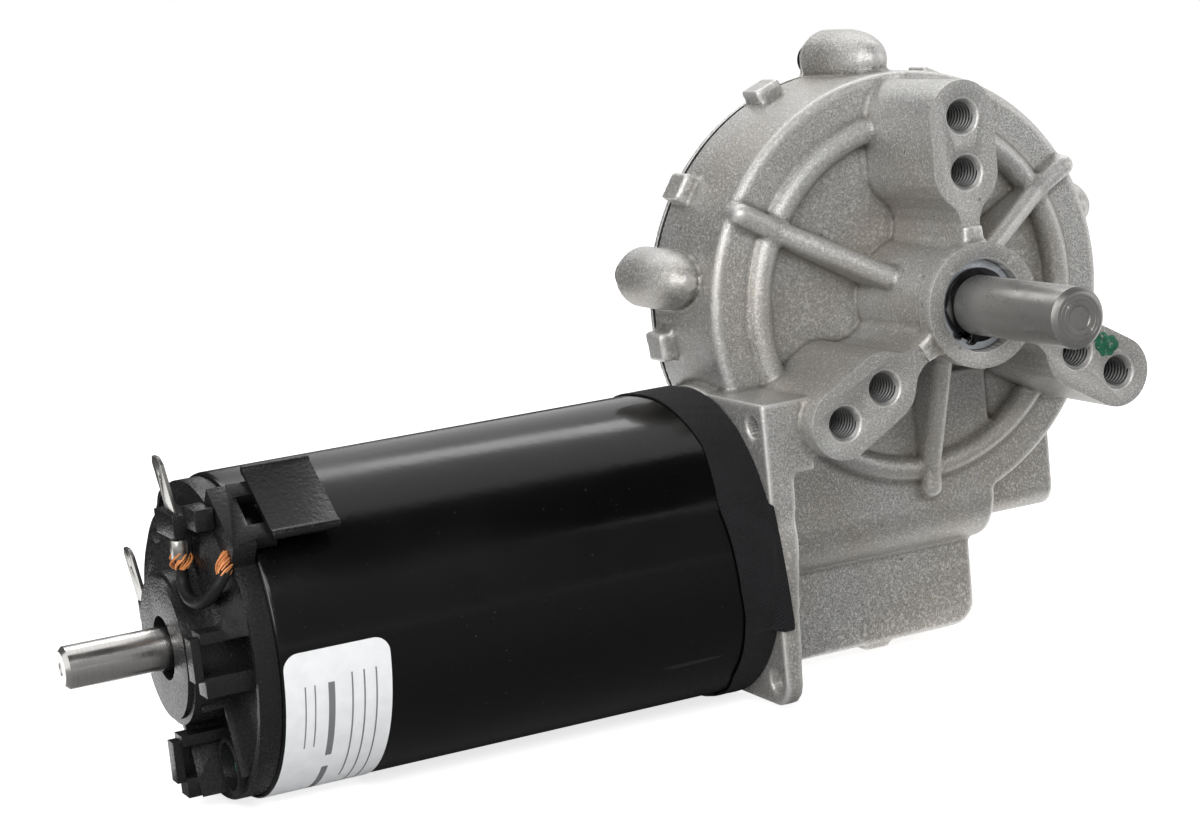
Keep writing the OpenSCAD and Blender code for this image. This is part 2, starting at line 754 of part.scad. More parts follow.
// Steel hub of the wheel, with lightening holes
module wheel_hub() {
    color("gray") difference() {
        union() {
            bar_y(motor_axis_y - wheel_web_t / 2, motor_axis_y + wheel_web_t / 2, wheel_hub_r);
            bar_y(wheel_y0, hub_end_y, wheel_boss_r);
            translate([0, motor_axis_y + wheel_w / 2, 0]) rotate([90, 0, 0]) difference() {
                cylinder(h = wheel_w, r = wheel_hub_r);
                translate([0, 0, -1]) cylinder(h = wheel_w + 2, r = wheel_hub_r - 4);
            }
        }
        intersection() {
            bar_y(wheel_y0 - 1, hub_end_y + 1, shaft_r + press_gap);
            translate([-(shaft_r - 0.78), wheel_y0 - 2, -10])
                cube([2 * (shaft_r - 0.78), hub_end_y - wheel_y0 + 4, 20]);
        }
        for (i = [0 : 5]) about_output(i * 60) translate([20, 0, 0]) bar_y(wheel_y0 - 1, wheel_y1 + 1, 3.6);
    }
}

// Worm wheel rim with slanted teeth
module worm_wheel() {
    tip_half = tooth_half - gear_module * pressure_slope;
    root_half = tooth_half + (gear_module + tip_gap) * pressure_slope;
    color("ivory") intersection() {
        difference() {
            union() {
                bar_y(wheel_y0, wheel_y1, wheel_root_r);
                for (i = [0 : wheel_teeth - 1]) about_output(i * 360 / wheel_teeth - 90)
                    translate([0, motor_axis_y, 0]) rotate([-lead_angle, 0, 0]) rotate([90, 0, 0])
                        translate([0, 0, -wheel_w]) linear_extrude(2 * wheel_w) polygon([
                            [wheel_root_r - 1, -root_half], [wheel_tip_r, -tip_half],
                            [wheel_tip_r, tip_half], [wheel_root_r - 1, root_half]
                        ]);
            }
            bar_y(wheel_y0 - 1, wheel_y1 + 1, wheel_hub_r + press_gap);
        }
        bar_y(wheel_y0, wheel_y1, wheel_tip_r + 5);
    }
}

// Washer between the wheel hub and the rear bush
module thrust_washer() {
    color("goldenrod") difference() {
        bar_y(hub_end_y + press_gap, hub_end_y + thrust_t, bush_r + 2);
        bar_y(hub_end_y - 1, hub_end_y + thrust_t + 1, shaft_r + press_gap);
    }
}

// Steel can of the motor
module motor_can() {
    color([0.08, 0.08, 0.08]) difference() {
        bar_x(can_rear_x, -can_seat_x, can_r);
        bar_x(can_rear_x - 1, -can_seat_x + 1, can_inner_r);
    }
}

// Field magnets bonded inside the can
module field_magnets() {
    color("dimgray") for (i = [0 : magnets - 1]) about_motor(magnet_phase + i * 360 / magnets)
        translate([magnet_x0, 0, 0]) rotate([90, 0, 90]) linear_extrude(magnet_len) intersection() {
            difference() {
                circle(r = can_inner_r, $fn = 128);
                circle(r = can_inner_r - magnet_t, $fn = 128);
            }
            polygon([
                [0, 0], [-60 * cos(magnet_sweep / 2), 60 * sin(magnet_sweep / 2)],
                [-60, 0], [-60 * cos(magnet_sweep / 2), -60 * sin(magnet_sweep / 2)]
            ]);
        }
}

// Cloth tape wound round the joint of can and flange
module seal_band() {
    color([0.1, 0.1, 0.1]) tube_x(-can_seat_x - tape_w, -can_seat_x, can_r + tape_t, can_r + 0.01);
}

// Blank label on the can's side
module rating_label() {
    top_angle = 3;
    color("white") intersection() {
        tube_x(can_rear_x + 0.6, can_rear_x + 0.6 + label_len, can_r + label_t, can_r + 0.01);
        about_motor(top_angle) translate([can_rear_x - 1, 0, 0]) rotate([90, 0, 90])
            linear_extrude(label_len + 3) polygon([
                [0, 0], [-90, 0], [-90, -90], [0, -90],
                [90 * sin(label_sweep - 90), -90 * cos(label_sweep - 90)]
            ]);
    }
}

// A deep-groove bearing as its two rings and shields in one solid
module ball_bearing(x0, w, outer, inner) {
    difference() {
        tube_x(x0, x0 + w, outer, inner);
        tube_x(x0 - 1, x0 + 0.4, outer - 1.4, inner + 1.4);
        tube_x(x0 + w - 0.4, x0 + w + 1, outer - 1.4, inner + 1.4);
    }
}

module front_bearing() {
    color("silver") ball_bearing(front_bearing_x0, bearing_w, bearing_r, worm_shaft_r + running_gap);
}

module rear_bearing() {
    color("silver") ball_bearing(can_rear_x - cap_plate_t - 1, rear_bearing_w, rear_bearing_r,
        rear_seat_r + running_gap);
}

// Bush at the worm's far end
module worm_end_bush() {
    color("peru") tube_x(end_bush_x0, end_bush_x0 + end_bush_len, end_bush_r, worm_end_r + running_gap);
}

// One open guide on the cap's back: a lip, an outer web and a foot
module cap_guide(y0, top_z) {
    lip_z = top_z - guide_top_h;
    foot_z = lip_z - guide_gap_h;
    translate([guide_lip_x, y0, lip_z]) cube([can_rear_x - guide_lip_x, guide_depth, guide_top_h]);
    translate([guide_lip_x, y0, foot_z - guide_foot_h])
        cube([can_rear_x - guide_lip_x, guide_depth, guide_foot_h]);
    translate([guide_x, y0 + 1.4, foot_z - 1])
        cube([guide_web_t, guide_depth - 1.4, guide_gap_h + 2]);
}

// Moulded rear cap with bearing boss, guides, ribs and bolt pockets
module rear_cap() {
    color([0.14, 0.14, 0.15]) difference() {
        union() {
            // Plate, spigot inside the can and raised rim
            bar_x(cap_plate_x, can_rear_x, cap_r);
            tube_x(can_rear_x - 1, can_rear_x + cap_spigot_len, can_inner_r - seat_gap,
                can_inner_r - cap_spigot_wall);
            tube_x(cap_plate_x - cap_rim_h, can_rear_x, cap_r, cap_r - cap_rim_wall);
            // Dome that carries the terminals
            intersection() {
                translate([can_rear_x, motor_axis_y, motor_z]) rotate([0, -90, 0])
                    rotate_extrude($fn = 96) polygon([
                        [0, 0], [cap_r - 1, 0], [cap_r - 1, cap_plate_t + cap_rim_h],
                        [dome_mid_r, cap_dome_h - 3], [dome_mid_r - 2, cap_dome_h - 1.2],
                        [dome_r, cap_dome_h], [0, cap_dome_h]
                    ]);
                about_motor(0) translate([dome_x - 1, 0, 0]) rotate([90, 0, 90])
                    linear_extrude(cap_dome_h + 2) polygon([
                        [0, 0], [-60 * cos(dome_start), 60 * sin(dome_start)], [-60, 60],
                        [60, 60], [60 * cos(dome_end - 180), -60 * sin(dome_end - 180)]
                    ]);
            }
            bar_x(boss_face_x, can_rear_x, cap_boss_r);
            bar_x(boss_step_x, can_rear_x, boss_step_r);
            bar_x(can_rear_x - 1, can_rear_x + cap_spigot_len, rear_bearing_r + 2.5);
            // Ribs beside the bolt pocket
            for (s = [-1, 1]) about_motor(tie_angle)
                translate([can_rear_x, 0, s * rib_offset - cap_rib_t / 2])
                    rotate([90, 0, 0]) linear_extrude(cap_r - 3)
                        polygon([[0, 0], [-cap_dome_h - 2, 0], [-cap_plate_t - cap_rim_h, cap_rib_t],
                            [0, cap_rib_t]]);
            // Bolt pockets
            for (a = [tie_angle, tie_angle + 180]) about_motor(a)
                translate([can_rear_x - cap_dome_h + 3, -tie_bolt_r, 0]) rotate([0, 90, 0])
                    cylinder(h = cap_dome_h - 3, r = pocket_r + pocket_wall);
            for (g = guides) cap_guide(g[0], g[1]);
        }
        // Bore of the boss and seat of the rear bearing
        bar_x(boss_face_x - 1, can_rear_x + 20, cap_bore_r);
        bar_x(can_rear_x - cap_plate_t - 1, can_rear_x + 20, rear_bearing_r);
        for (a = [tie_angle, tie_angle + 180]) about_motor(a)
            translate([0, -tie_bolt_r, 0]) rotate([0, 90, 0]) {
                translate([0, 0, can_rear_x - 20]) cylinder(h = 20 - 1.2, r = pocket_r);
                translate([0, 0, can_rear_x - 20]) cylinder(h = 40, d = tie_bolt_d + 0.2);
            }
    }
}

// Long bolts from the cap to the housing's flange
module tie_bolts() {
    head_x = can_rear_x - 1.2;
    color("lightgray") for (a = [tie_angle, tie_angle + 180]) about_motor(a)
        translate([head_x, -tie_bolt_r, 0]) rotate([0, 90, 0]) difference() {
            union() {
                translate([0, 0, -tie_head_h]) cylinder(h = tie_head_h, r = tie_head_r);
                cylinder(h = -can_seat_x + flange_t - 2.4 - head_x, d = tie_bolt_d);
            }
            translate([0, 0, -tie_head_h - 1]) cylinder(h = 2.6, r = 1.8, $fn = 6);
        }
}

// Insulating ring plate that carries the brush holders, seated on the cap's spigot
module brush_plate() {
    color("saddlebrown") difference() {
        tube_x(plate_x0, plate_x1, can_inner_r - seat_gap, commutator_r + plate_gap);
        for (a = [tie_angle, tie_angle + 180]) about_motor(a)
            translate([plate_x0 - 1, -tie_bolt_r, 0]) rotate([0, 90, 0])
                cylinder(h = plate_t + 2, r = tie_bolt_d / 2 + plate_gap);
    }
}

// Brass tubes that guide the brushes
module brush_holders() {
    color("goldenrod") for (a = brush_angles) about_motor(a)
        translate([brush_x, -holder_outer_r, 0]) difference() {
            translate([-brush_w / 2 - holder_wall, 0, -brush_h / 2 - holder_wall])
                cube([brush_w + 2 * holder_wall, holder_outer_r - holder_inner_r, brush_h + 2 * holder_wall]);
            translate([-brush_w / 2 - 0.1, -1, -brush_h / 2 - 0.1])
                cube([brush_w + 0.2, holder_outer_r, brush_h + 0.2]);
        }
}

// Carbon brushes
module carbon_brushes() {
    color([0.2, 0.2, 0.2]) for (a = brush_angles) about_motor(a)
        translate([brush_x - brush_w / 2, -brush_outer_r, -brush_h / 2])
            cube([brush_w, brush_outer_r - brush_inner_r, brush_h]);
}

// Brush springs, drawn as stacked rings
module brush_springs() {
    gap = (holder_outer_r - brush_outer_r) / spring_turns;
    color("silver") for (a = brush_angles) about_motor(a) translate([brush_x, 0, 0]) {
        for (i = [0 : spring_turns - 1]) translate([0, -brush_outer_r - gap * (i + 0.5), 0])
            rotate([90, 0, 0]) rotate_extrude($fn = 24) translate([2.2, 0]) circle(r = gap * 0.52, $fn = 16);
    }
}

// T-shaped block under the near terminal and a plain one under the far terminal
module terminal_block() {
    color([0.12, 0.12, 0.12]) {
        translate([block_x0, block_y0, block_z0])
            cube([block_x1 - block_x0, block_y1 - block_y0, block_z1 - block_z0]);
        translate([tip_x0, tip_y0, tip_z0])
            cube([tip_x1 - tip_x0, block_y0 - tip_y0 + 1, tip_z1 - tip_z0]);
        translate([dome_x - far_block_out, far_block_y - far_block_w / 2, far_block_z])
            cube([far_block_out, far_block_w, far_block_h]);
    }
}

// One blade terminal standing up from its block, with a small hole and a pointed tip
module blade(y, z) {
    translate([blade_x - blade_t / 2, y, z]) rotate([0, -9, 0]) rotate([90, 0, 90])
        linear_extrude(blade_t) difference() {
            polygon([
                [-blade_w / 2, 0], [blade_w / 2, 0], [blade_w / 2, blade_len - 1.6],
                [blade_w / 2 - 1.4, blade_len], [1.4 - blade_w / 2, blade_len],
                [-blade_w / 2, blade_len - 1.6]
            ]);
            translate([0, blade_len - 5]) circle(r = 0.8);
        }
}

module blade_terminals() {
    color("lightgray") {
        blade(blade_y, block_z1);
        blade(far_block_y, far_block_z + far_block_h);
    }
}

// Ferrule crimped on the lead, under the near terminal
module crimp_ferrule() {
    color("silver") translate([ferrule_x, ferrule_y, block_z0 - ferrule_len]) cylinder(h = ferrule_len, r = ferrule_r);
}

// Unit vector, and the direction of the lead at a point
function unit(v) = v / norm(v);
function lead_direction(i) =
    unit(lead_points[min(i + 1, len(lead_points) - 1)] - lead_points[max(i - 1, 0)]);

// Short insulated lead from the ferrule to the switch bracket
module lead_tube() {
    n = len(lead_points);
    ring = [for (i = [0 : n - 1]) let (
        d = lead_direction(i),
        side = unit(cross(d, [0, 1, 0.3])),
        up = cross(d, side)
    ) for (k = [0 : lead_sides - 1]) lead_points[i]
        + lead_r * (cos(k * 360 / lead_sides) * side + sin(k * 360 / lead_sides) * up)];
    sides = [for (i = [0 : n - 2], k = [0 : lead_sides - 1], half = [0, 1]) let (
        k2 = (k + 1) % lead_sides,
        a = i * lead_sides,
        b = a + lead_sides
    ) half == 0 ? [a + k, a + k2, b + k2] : [a + k, b + k2, b + k]];
    first = [for (k = [lead_sides - 1 : -1 : 0]) k];
    last = [for (k = [0 : lead_sides - 1]) (n - 1) * lead_sides + k];
    polyhedron(points = ring, faces = concat(sides, [first, last]));
}

module switch_lead() {
    color([0.1, 0.1, 0.1]) translate([can_rear_x, 0, 0]) lead_tube();
}

// A box on the can's side: radial from r0 to r1, along X from x0 to x1, tangential from t0 to t1
module side_box(x0, x1, r0, r1, t0, t1) {
    about_motor(switch_angle) translate([x0, -r1, t0]) cube([x1 - x0, r1 - r0, t1 - t0]);
}

// Bracket that clips the switch on the can's rear rim
module switch_bracket() {
    half = switch_cover_h / 2;
    foot_x1 = switch_x0 + foot_reach;
    color([0.1, 0.1, 0.1]) {
        side_box(bracket_x0, bracket_x1, bracket_r0, switch_r - bracket_over,
            -half - bracket_over, half - bracket_back);
        for (t = [-half + foot_inset, half - bracket_back - foot_w])
            side_box(bracket_x1 - 1, foot_x1, can_r + bracket_gap, switch_r - bracket_gap, t, t + foot_w);
    }
}

// Flat thermal switch between can and cover
module thermal_switch() {
    color([0.2, 0.2, 0.22])
        side_box(switch_x0 + 2.3, switch_x0 + switch_cover_w - 2, can_r + 0.3, switch_r - 0.3, -4, 4);
}

// Cover of the switch, with a rolled edge along its top and bottom
module switch_cover() {
    half = switch_cover_h / 2;
    color([0.1, 0.1, 0.1]) {
        side_box(switch_x0, switch_x0 + switch_cover_w, switch_r, switch_r + switch_cover_t, -half, half);
        for (s = [-1, 1]) about_motor(switch_angle)
            translate([switch_x0, -switch_r - switch_cover_t / 2, s * half])
                rotate([0, 90, 0]) cylinder(h = switch_cover_w, r = 1.1, $fn = 24);
    }
}

// Armature shaft, stepped from the rear end to the worm's far end
module armature_shaft() {
    color("silver") {
        bar_x(rear_tip_x + shaft_end_chamfer, can_rear_x, rear_shaft_r);
        translate([rear_tip_x, motor_axis_y, motor_z]) rotate([0, 90, 0])
            cylinder(h = shaft_end_chamfer + eps, r1 = rear_shaft_r - shaft_end_chamfer, r2 = rear_shaft_r);
        bar_x(boss_face_x + rear_seat_in, plate_x0 + eps, rear_seat_r);
        bar_x(plate_x0, -can_seat_x - 4, core_bore_r - press_gap);
        bar_x(-can_seat_x - 5, end_bush_x0 - 2, worm_shaft_r);
        bar_x(end_bush_x0 - 3, end_bush_x0 + end_bush_len - 0.6, worm_end_r);
    }
}

// Worm: the transverse section of a single thread, twisted along its length
module worm() {
    turns = worm_len / axial_pitch;
    steps = 28;
    root_r = worm_root_r;
    root_half = tooth_half + gear_module * pressure_slope + tip_gap * pressure_slope;
    tip_half = tooth_half - gear_module * pressure_slope;
    // Radius of the section where the thread is this far along its pitch
    function thread_r(a) = let (
        s = abs(a) / 360 * axial_pitch
    ) s < tip_half ? worm_tip_r
        : s > root_half ? root_r
        : worm_tip_r - (s - tip_half) / (root_half - tip_half) * (worm_tip_r - root_r);
    color("silver") translate([-worm_len / 2, motor_axis_y, motor_z]) rotate([0, 90, 0]) difference() {
        rotate(-180 * turns)
            linear_extrude(worm_len, twist = -360 * turns, slices = ceil(turns * 360 / thread_step),
                segments = steps)
                polygon([for (i = [0 : steps - 1]) let (a = -180 + i * 360 / steps)
                    thread_r(a) * [cos(a), sin(a)]]);
        translate([0, 0, -1]) cylinder(h = worm_len + 2, r = worm_shaft_r + press_gap);
    }
}

// Laminated core with slots
module armature_core() {
    color("dimgray") difference() {
        bar_x(core_x0, core_x1, core_r);
        bar_x(core_x0 - 1, core_x1 + 1, core_bore_r);
        for (i = [0 : core_slots - 1]) about_motor(i * 360 / core_slots)
            translate([core_x0 - 1, -core_r - 1, -slot_w / 2]) cube([core_len + 2, slot_depth + 1, slot_w]);
    }
}

// End windings on both sides of the core
module armature_windings() {
    color("chocolate") for (side = [0, 1]) {
        x0 = side == 0 ? core_x0 - winding_len : core_x1;
        translate([x0 + winding_len / 2, motor_axis_y, motor_z]) rotate([0, 90, 0])
            rotate_extrude($fn = 64) polygon([
                [core_bore_r + press_gap, -winding_len / 2], [winding_r - winding_step, -winding_len / 2],
                [winding_r, -winding_len / 4], [winding_r, winding_len / 2 * 0.9],
                [winding_r - winding_drop, winding_len / 2], [core_bore_r + press_gap, winding_len / 2]
            ]);
    }
}

// Copper commutator with cut bars
module commutator() {
    color("darkorange") difference() {
        tube_x(commutator_x0, commutator_x0 + commutator_len, commutator_r, core_bore_r);
        for (i = [0 : commutator_bars - 1]) about_motor(i * 360 / commutator_bars)
            translate([commutator_x0 - 1, -commutator_r - 1, -bar_slot_w / 2])
                cube([commutator_len - bar_end, bar_slot_depth + 1, bar_slot_w]);
    }
}

gear_housing();
rear_cover();
cover_gasket();
cover_screws();
front_bush();
rear_bush();
hub_washer();
motor_can();
field_magnets();
seal_band();
rating_label();
front_bearing();
worm_end_bush();
rear_bearing();
rear_cap();
tie_bolts();
brush_plate();
brush_holders();
carbon_brushes();
brush_springs();
terminal_block();
blade_terminals();
crimp_ferrule();
switch_lead();
switch_bracket();
thermal_switch();
switch_cover();
output_shaft();
wheel_hub();
worm_wheel();
shaft_circlip();
thrust_washer();
armature_shaft();
worm();
armature_core();
armature_windings();
commutator();
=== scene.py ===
"""Dresses the right-angle dc gear motor: meshes with soft cast edges, turned metal, cloth tape and paint.

Sizes are in millimetres, the studio's cards and lamps in metres, all in the CAD frame: the origin lies on
the output shaft's axis in the plane of the mounting pads, +X runs along the motor to the gears, the shaft
points along -Y, +Z is up.
"""

import logging
import math
from dataclasses import dataclass
from enum import Enum

import bpy
from mathutils import Matrix, Vector


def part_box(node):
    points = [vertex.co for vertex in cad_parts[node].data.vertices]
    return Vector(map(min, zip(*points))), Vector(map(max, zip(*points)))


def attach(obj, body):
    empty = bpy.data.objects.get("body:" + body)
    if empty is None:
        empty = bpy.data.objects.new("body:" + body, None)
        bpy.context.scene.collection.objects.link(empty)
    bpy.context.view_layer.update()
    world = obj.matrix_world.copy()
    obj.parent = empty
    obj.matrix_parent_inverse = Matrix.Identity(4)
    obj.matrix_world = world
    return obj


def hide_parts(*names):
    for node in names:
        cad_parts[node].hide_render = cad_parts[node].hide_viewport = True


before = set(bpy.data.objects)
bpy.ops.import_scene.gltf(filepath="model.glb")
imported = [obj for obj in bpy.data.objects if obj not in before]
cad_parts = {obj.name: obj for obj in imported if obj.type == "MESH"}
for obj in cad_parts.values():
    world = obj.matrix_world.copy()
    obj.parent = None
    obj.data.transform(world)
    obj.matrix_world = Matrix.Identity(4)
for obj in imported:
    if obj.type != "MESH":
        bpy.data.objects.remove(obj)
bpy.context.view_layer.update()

LOG = logging.getLogger("gear_motor")
MM = 0.001
Pair = tuple[float, float]
Point = tuple[float, float, float]
Colour = tuple[float, float, float]
Socket = bpy.types.NodeSocket


class Way(Enum):
    """Direction that a turned piece's axis takes, as the Euler angles that lay it there."""

    ALONG_X = (0.0, math.pi / 2, 0.0)
    ALONG_Y = (-math.pi / 2, 0.0, 0.0)


class Body(Enum):
    """The three bodies that pieces ride on."""

    HOUSING = "housing"
    OUTPUT = "output"
    ARMATURE = "armature"


# Workshop: selecting, drawing, turning and finishing meshes


def times(values: Point, factor: float) -> Point:
    """Returns a point or a colour with each of its values multiplied."""
    return tuple(value * factor for value in values)


def clear_selection() -> None:
    """Leave edit mode and deselect everything."""
    if bpy.context.object and bpy.context.object.mode != "OBJECT":
        bpy.ops.object.mode_set(mode="OBJECT")
    bpy.ops.object.select_all(action="DESELECT")


def pick(piece: bpy.types.Object) -> None:
    """Make a piece the only selected and the active one.

    Args:
        piece: The object to pick.
    """
    clear_selection()
    piece.select_set(True)
    bpy.context.view_layer.objects.active = piece


def edit(piece: bpy.types.Object, select: str = "SELECT") -> None:
    """Open a piece in edit mode with all or nothing selected.

    Args:
        piece: The object to edit.
        select: SELECT or DESELECT.
    """
    pick(piece)
    bpy.ops.object.mode_set(mode="EDIT")
    bpy.ops.mesh.select_all(action=select)


def settle() -> None:
    """Move the picked piece's place, turn and size into its mesh."""
    bpy.ops.object.transform_apply(location=True, rotation=True, scale=True)


def face_outwards(piece: bpy.types.Object) -> None:
    """Turn all faces of a piece outwards.

    Args:
        piece: The object to change.
    """
    edit(piece)
    bpy.ops.mesh.normals_make_consistent(inside=False)
    bpy.ops.object.mode_set(mode="OBJECT")


def apply_modifier(piece: bpy.types.Object, kind: str, **settings: object) -> None:
    """Add a modifier with its settings and apply it at once.

    Args:
        piece: The object to change.
        kind: Blender's name for the modifier.
        **settings: Values set on the modifier.
    """
    pick(piece)
    modifier = piece.modifiers.new(kind.title(), kind)
    for key, value in settings.items():
        setattr(modifier, key, value)
    bpy.ops.object.modifier_apply(modifier=modifier.name)


def draw_line(name: str, points: list[Point]) -> bpy.types.Object:
    """Draw an open chain of edges by extruding one vertex from point to point.

    Args:
        name: Name of the new object.
        points: The chain's corners.

    Returns:
        The new object, in object mode.
    """
    clear_selection()
    bpy.ops.mesh.primitive_plane_add(size=1)
    line = bpy.context.active_object
    line.name = name
    bpy.ops.object.mode_set(mode="EDIT")
    bpy.ops.mesh.select_mode(type="VERT")
    bpy.ops.mesh.select_all(action="SELECT")
    bpy.ops.mesh.merge(type="CENTER")
    bpy.ops.transform.translate(value=points[0])
    for start, stop in zip(points, points[1:]):
        step = tuple(b - a for a, b in zip(start, stop))
        bpy.ops.mesh.extrude_vertices_move(TRANSFORM_OT_translate={"value": step})
    bpy.ops.object.mode_set(mode="OBJECT")
    return line


def turn(name: str, steps: list[Pair], sides: int = 96) -> bpy.types.Object:
    """Turn a piece as on a lathe: an outline of (along, radius) pairs is spun round the Z axis.

    Args:
        name: Name of the new object.
        steps: The outline; it closes on the axis or on its own start.
        sides: Number of steps round the axis.

    Returns:
        The new object, its axis along Z.
    """
    piece = draw_line(name, [(radius, 0.0, along) for along, radius in steps])
    edit(piece)
    bpy.ops.mesh.spin(steps=sides, angle=math.tau, center=(0, 0, 0), axis=(0, 0, 1))
    bpy.ops.mesh.select_all(action="SELECT")
    bpy.ops.mesh.remove_doubles(threshold=0.001)
    bpy.ops.mesh.normals_make_consistent(inside=False)
    bpy.ops.object.mode_set(mode="OBJECT")
    return piece


def block(name: str, low: Point, high: Point, edge: float = 0.3) -> bpy.types.Object:
    """A block between two corners with its edges rounded.

    Args:
        name: Name of the new object.
        low: Lowest corner.
        high: Highest corner.
        edge: Width of the rounding.

    Returns:
        The new object.
    """
    clear_selection()
    middle = tuple((a + b) / 2 for a, b in zip(low, high))
    bpy.ops.mesh.primitive_cube_add(size=1, location=middle)
    piece = bpy.context.active_object
    piece.name = name
    piece.scale = tuple(b - a for a, b in zip(low, high))
    settle()
    if edge > 0:
        apply_modifier(piece, "BEVEL", width=edge, segments=3)
    return piece


def tube(name: str, points: list[Point], radius: float, sides: int = 12) -> bpy.types.Object:
    """A round strand that follows points smoothly, as a mesh.

    Args:
        name: Name of the new object.
        points: The points that it follows.
        radius: Radius of the strand.
        sides: Sides of its section.

    Returns:
        The new object.
    """
    curve = bpy.data.curves.new(name, "CURVE")
    curve.dimensions = "3D"
    curve.bevel_depth = radius
    curve.bevel_resolution = max(1, sides // 4 - 1)
    curve.resolution_u = 5
    curve.use_fill_caps = True
    spline = curve.splines.new("BEZIER")
    spline.bezier_points.add(len(points) - 1)
    for knot, point in zip(spline.bezier_points, points):
        knot.co = point
        knot.handle_left_type = "AUTO"
        knot.handle_right_type = "AUTO"
    piece = bpy.data.objects.new(name, curve)
    bpy.context.collection.objects.link(piece)
    pick(piece)
    bpy.ops.object.convert(target="MESH")
    return bpy.context.active_object


def from_node(node: str, name: str) -> bpy.types.Object:
    """Copy a CAD node into a new object in millimetres, its triangles welded.

    Args:
        node: Name of the CAD node.
        name: Name of the new object.

    Returns:
        The copy, free of any parent.
    """
    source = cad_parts[node]
    piece = source.copy()
    piece.data = source.data.copy()
    piece.name = name
    piece.parent = None
    piece.matrix_world = Matrix.Scale(1 / MM, 4) @ source.matrix_world
    bpy.context.collection.objects.link(piece)
    pick(piece)
    piece.data.materials.clear()
    settle()
    edit(piece)
    bpy.ops.mesh.remove_doubles(threshold=0.002)
    bpy.ops.object.mode_set(mode="OBJECT")
    return piece


def join(pieces: list[bpy.types.Object]) -> bpy.types.Object:
    """Join pieces into the first one.

    Args:
        pieces: The objects to join.

    Returns:
        The first object, which now holds all meshes.
    """
    pick(pieces[0])
    for piece in pieces[1:]:
        piece.select_set(True)
    bpy.ops.object.join()
    return bpy.context.active_object


def cut(piece: bpy.types.Object, cutter: bpy.types.Object) -> None:
    """Cut a closed piece with a closed cutter, and throw the cutter away.

    Args:
        piece: The object that loses material.
        cutter: The shape that is taken away.
    """
    pick(cutter)
    settle()
    apply_modifier(piece, "BOOLEAN", operation="DIFFERENCE", solver="MANIFOLD", object=cutter)
    bpy.data.objects.remove(cutter, do_unlink=True)


def soften(piece: bpy.types.Object, voxel: float, rounds: int, faces: int) -> None:
    """Cast a shape anew: remesh it evenly, smooth its edges and thin the mesh.

    Args:
        piece: The object to change.
        voxel: Size of the remesh.
        rounds: Number of smoothing rounds.
        faces: Most triangles that may stay.
    """
    apply_modifier(piece, "REMESH", mode="VOXEL", voxel_size=voxel, use_smooth_shade=True)
    apply_modifier(piece, "SMOOTH", factor=0.5, iterations=rounds)
    count = sum(len(polygon.vertices) - 2 for polygon in piece.data.polygons)
    if count > faces:
        apply_modifier(piece, "DECIMATE", ratio=faces / count)


def round_edges(piece: bpy.types.Object, width: float, angle: float = 35, parts: int = 2) -> None:
    """Merge flat faces and round the edges that are sharper than an angle.

    Args:
        piece: The object to change.
        width: Width of the rounding.
        angle: Smallest edge angle in degrees that is rounded.
        parts: Segments of the rounding.
    """
    edit(piece)
    bpy.ops.mesh.dissolve_limited(angle_limit=math.radians(1.0))
    bpy.ops.object.mode_set(mode="OBJECT")
    limit = math.radians(angle)
    apply_modifier(piece, "BEVEL", width=width, segments=parts, limit_method="ANGLE", angle_limit=limit)


def lay(piece: bpy.types.Object, way: Way, spot: Point = (0, 0, 0)) -> bpy.types.Object:
    """Lay a piece that was made round the Z axis along another axis, still in millimetres.

    Args:
        piece: The object to turn and move.
        way: Where its axis goes.
        spot: Where its origin goes.

    Returns:
        The same object.
    """
    pick(piece)
    piece.rotation_euler = way.value
    piece.location = spot
    settle()
    return piece


def hand_over(
    piece: bpy.types.Object,
    finish: bpy.types.Material,
    body: Body,
    stands_for: tuple[str, ...] = (),
    smooth: float = 35,
) -> None:
    """Bring a finished piece to metres, dress it, and put it on its body.

    Args:
        piece: The object, in millimetres.
        finish: Its material.
        body: The CAD body that it rides on.
        stands_for: CAD nodes that it replaces.
        smooth: Edge angle in degrees below which faces shade as one.
    """
    pick(piece)
    piece.matrix_world = Matrix.Scale(MM, 4) @ piece.matrix_world
    settle()
    bpy.ops.object.shade_smooth_by_angle(angle=math.radians(smooth))
    piece.data.materials.clear()
    piece.data.materials.append(finish)
    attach(piece, body.value)
    if stands_for:
        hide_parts(*stands_for)
    LOG.info("%s: %d faces on %s", piece.name, len(piece.data.polygons), body.value)


# Finishes


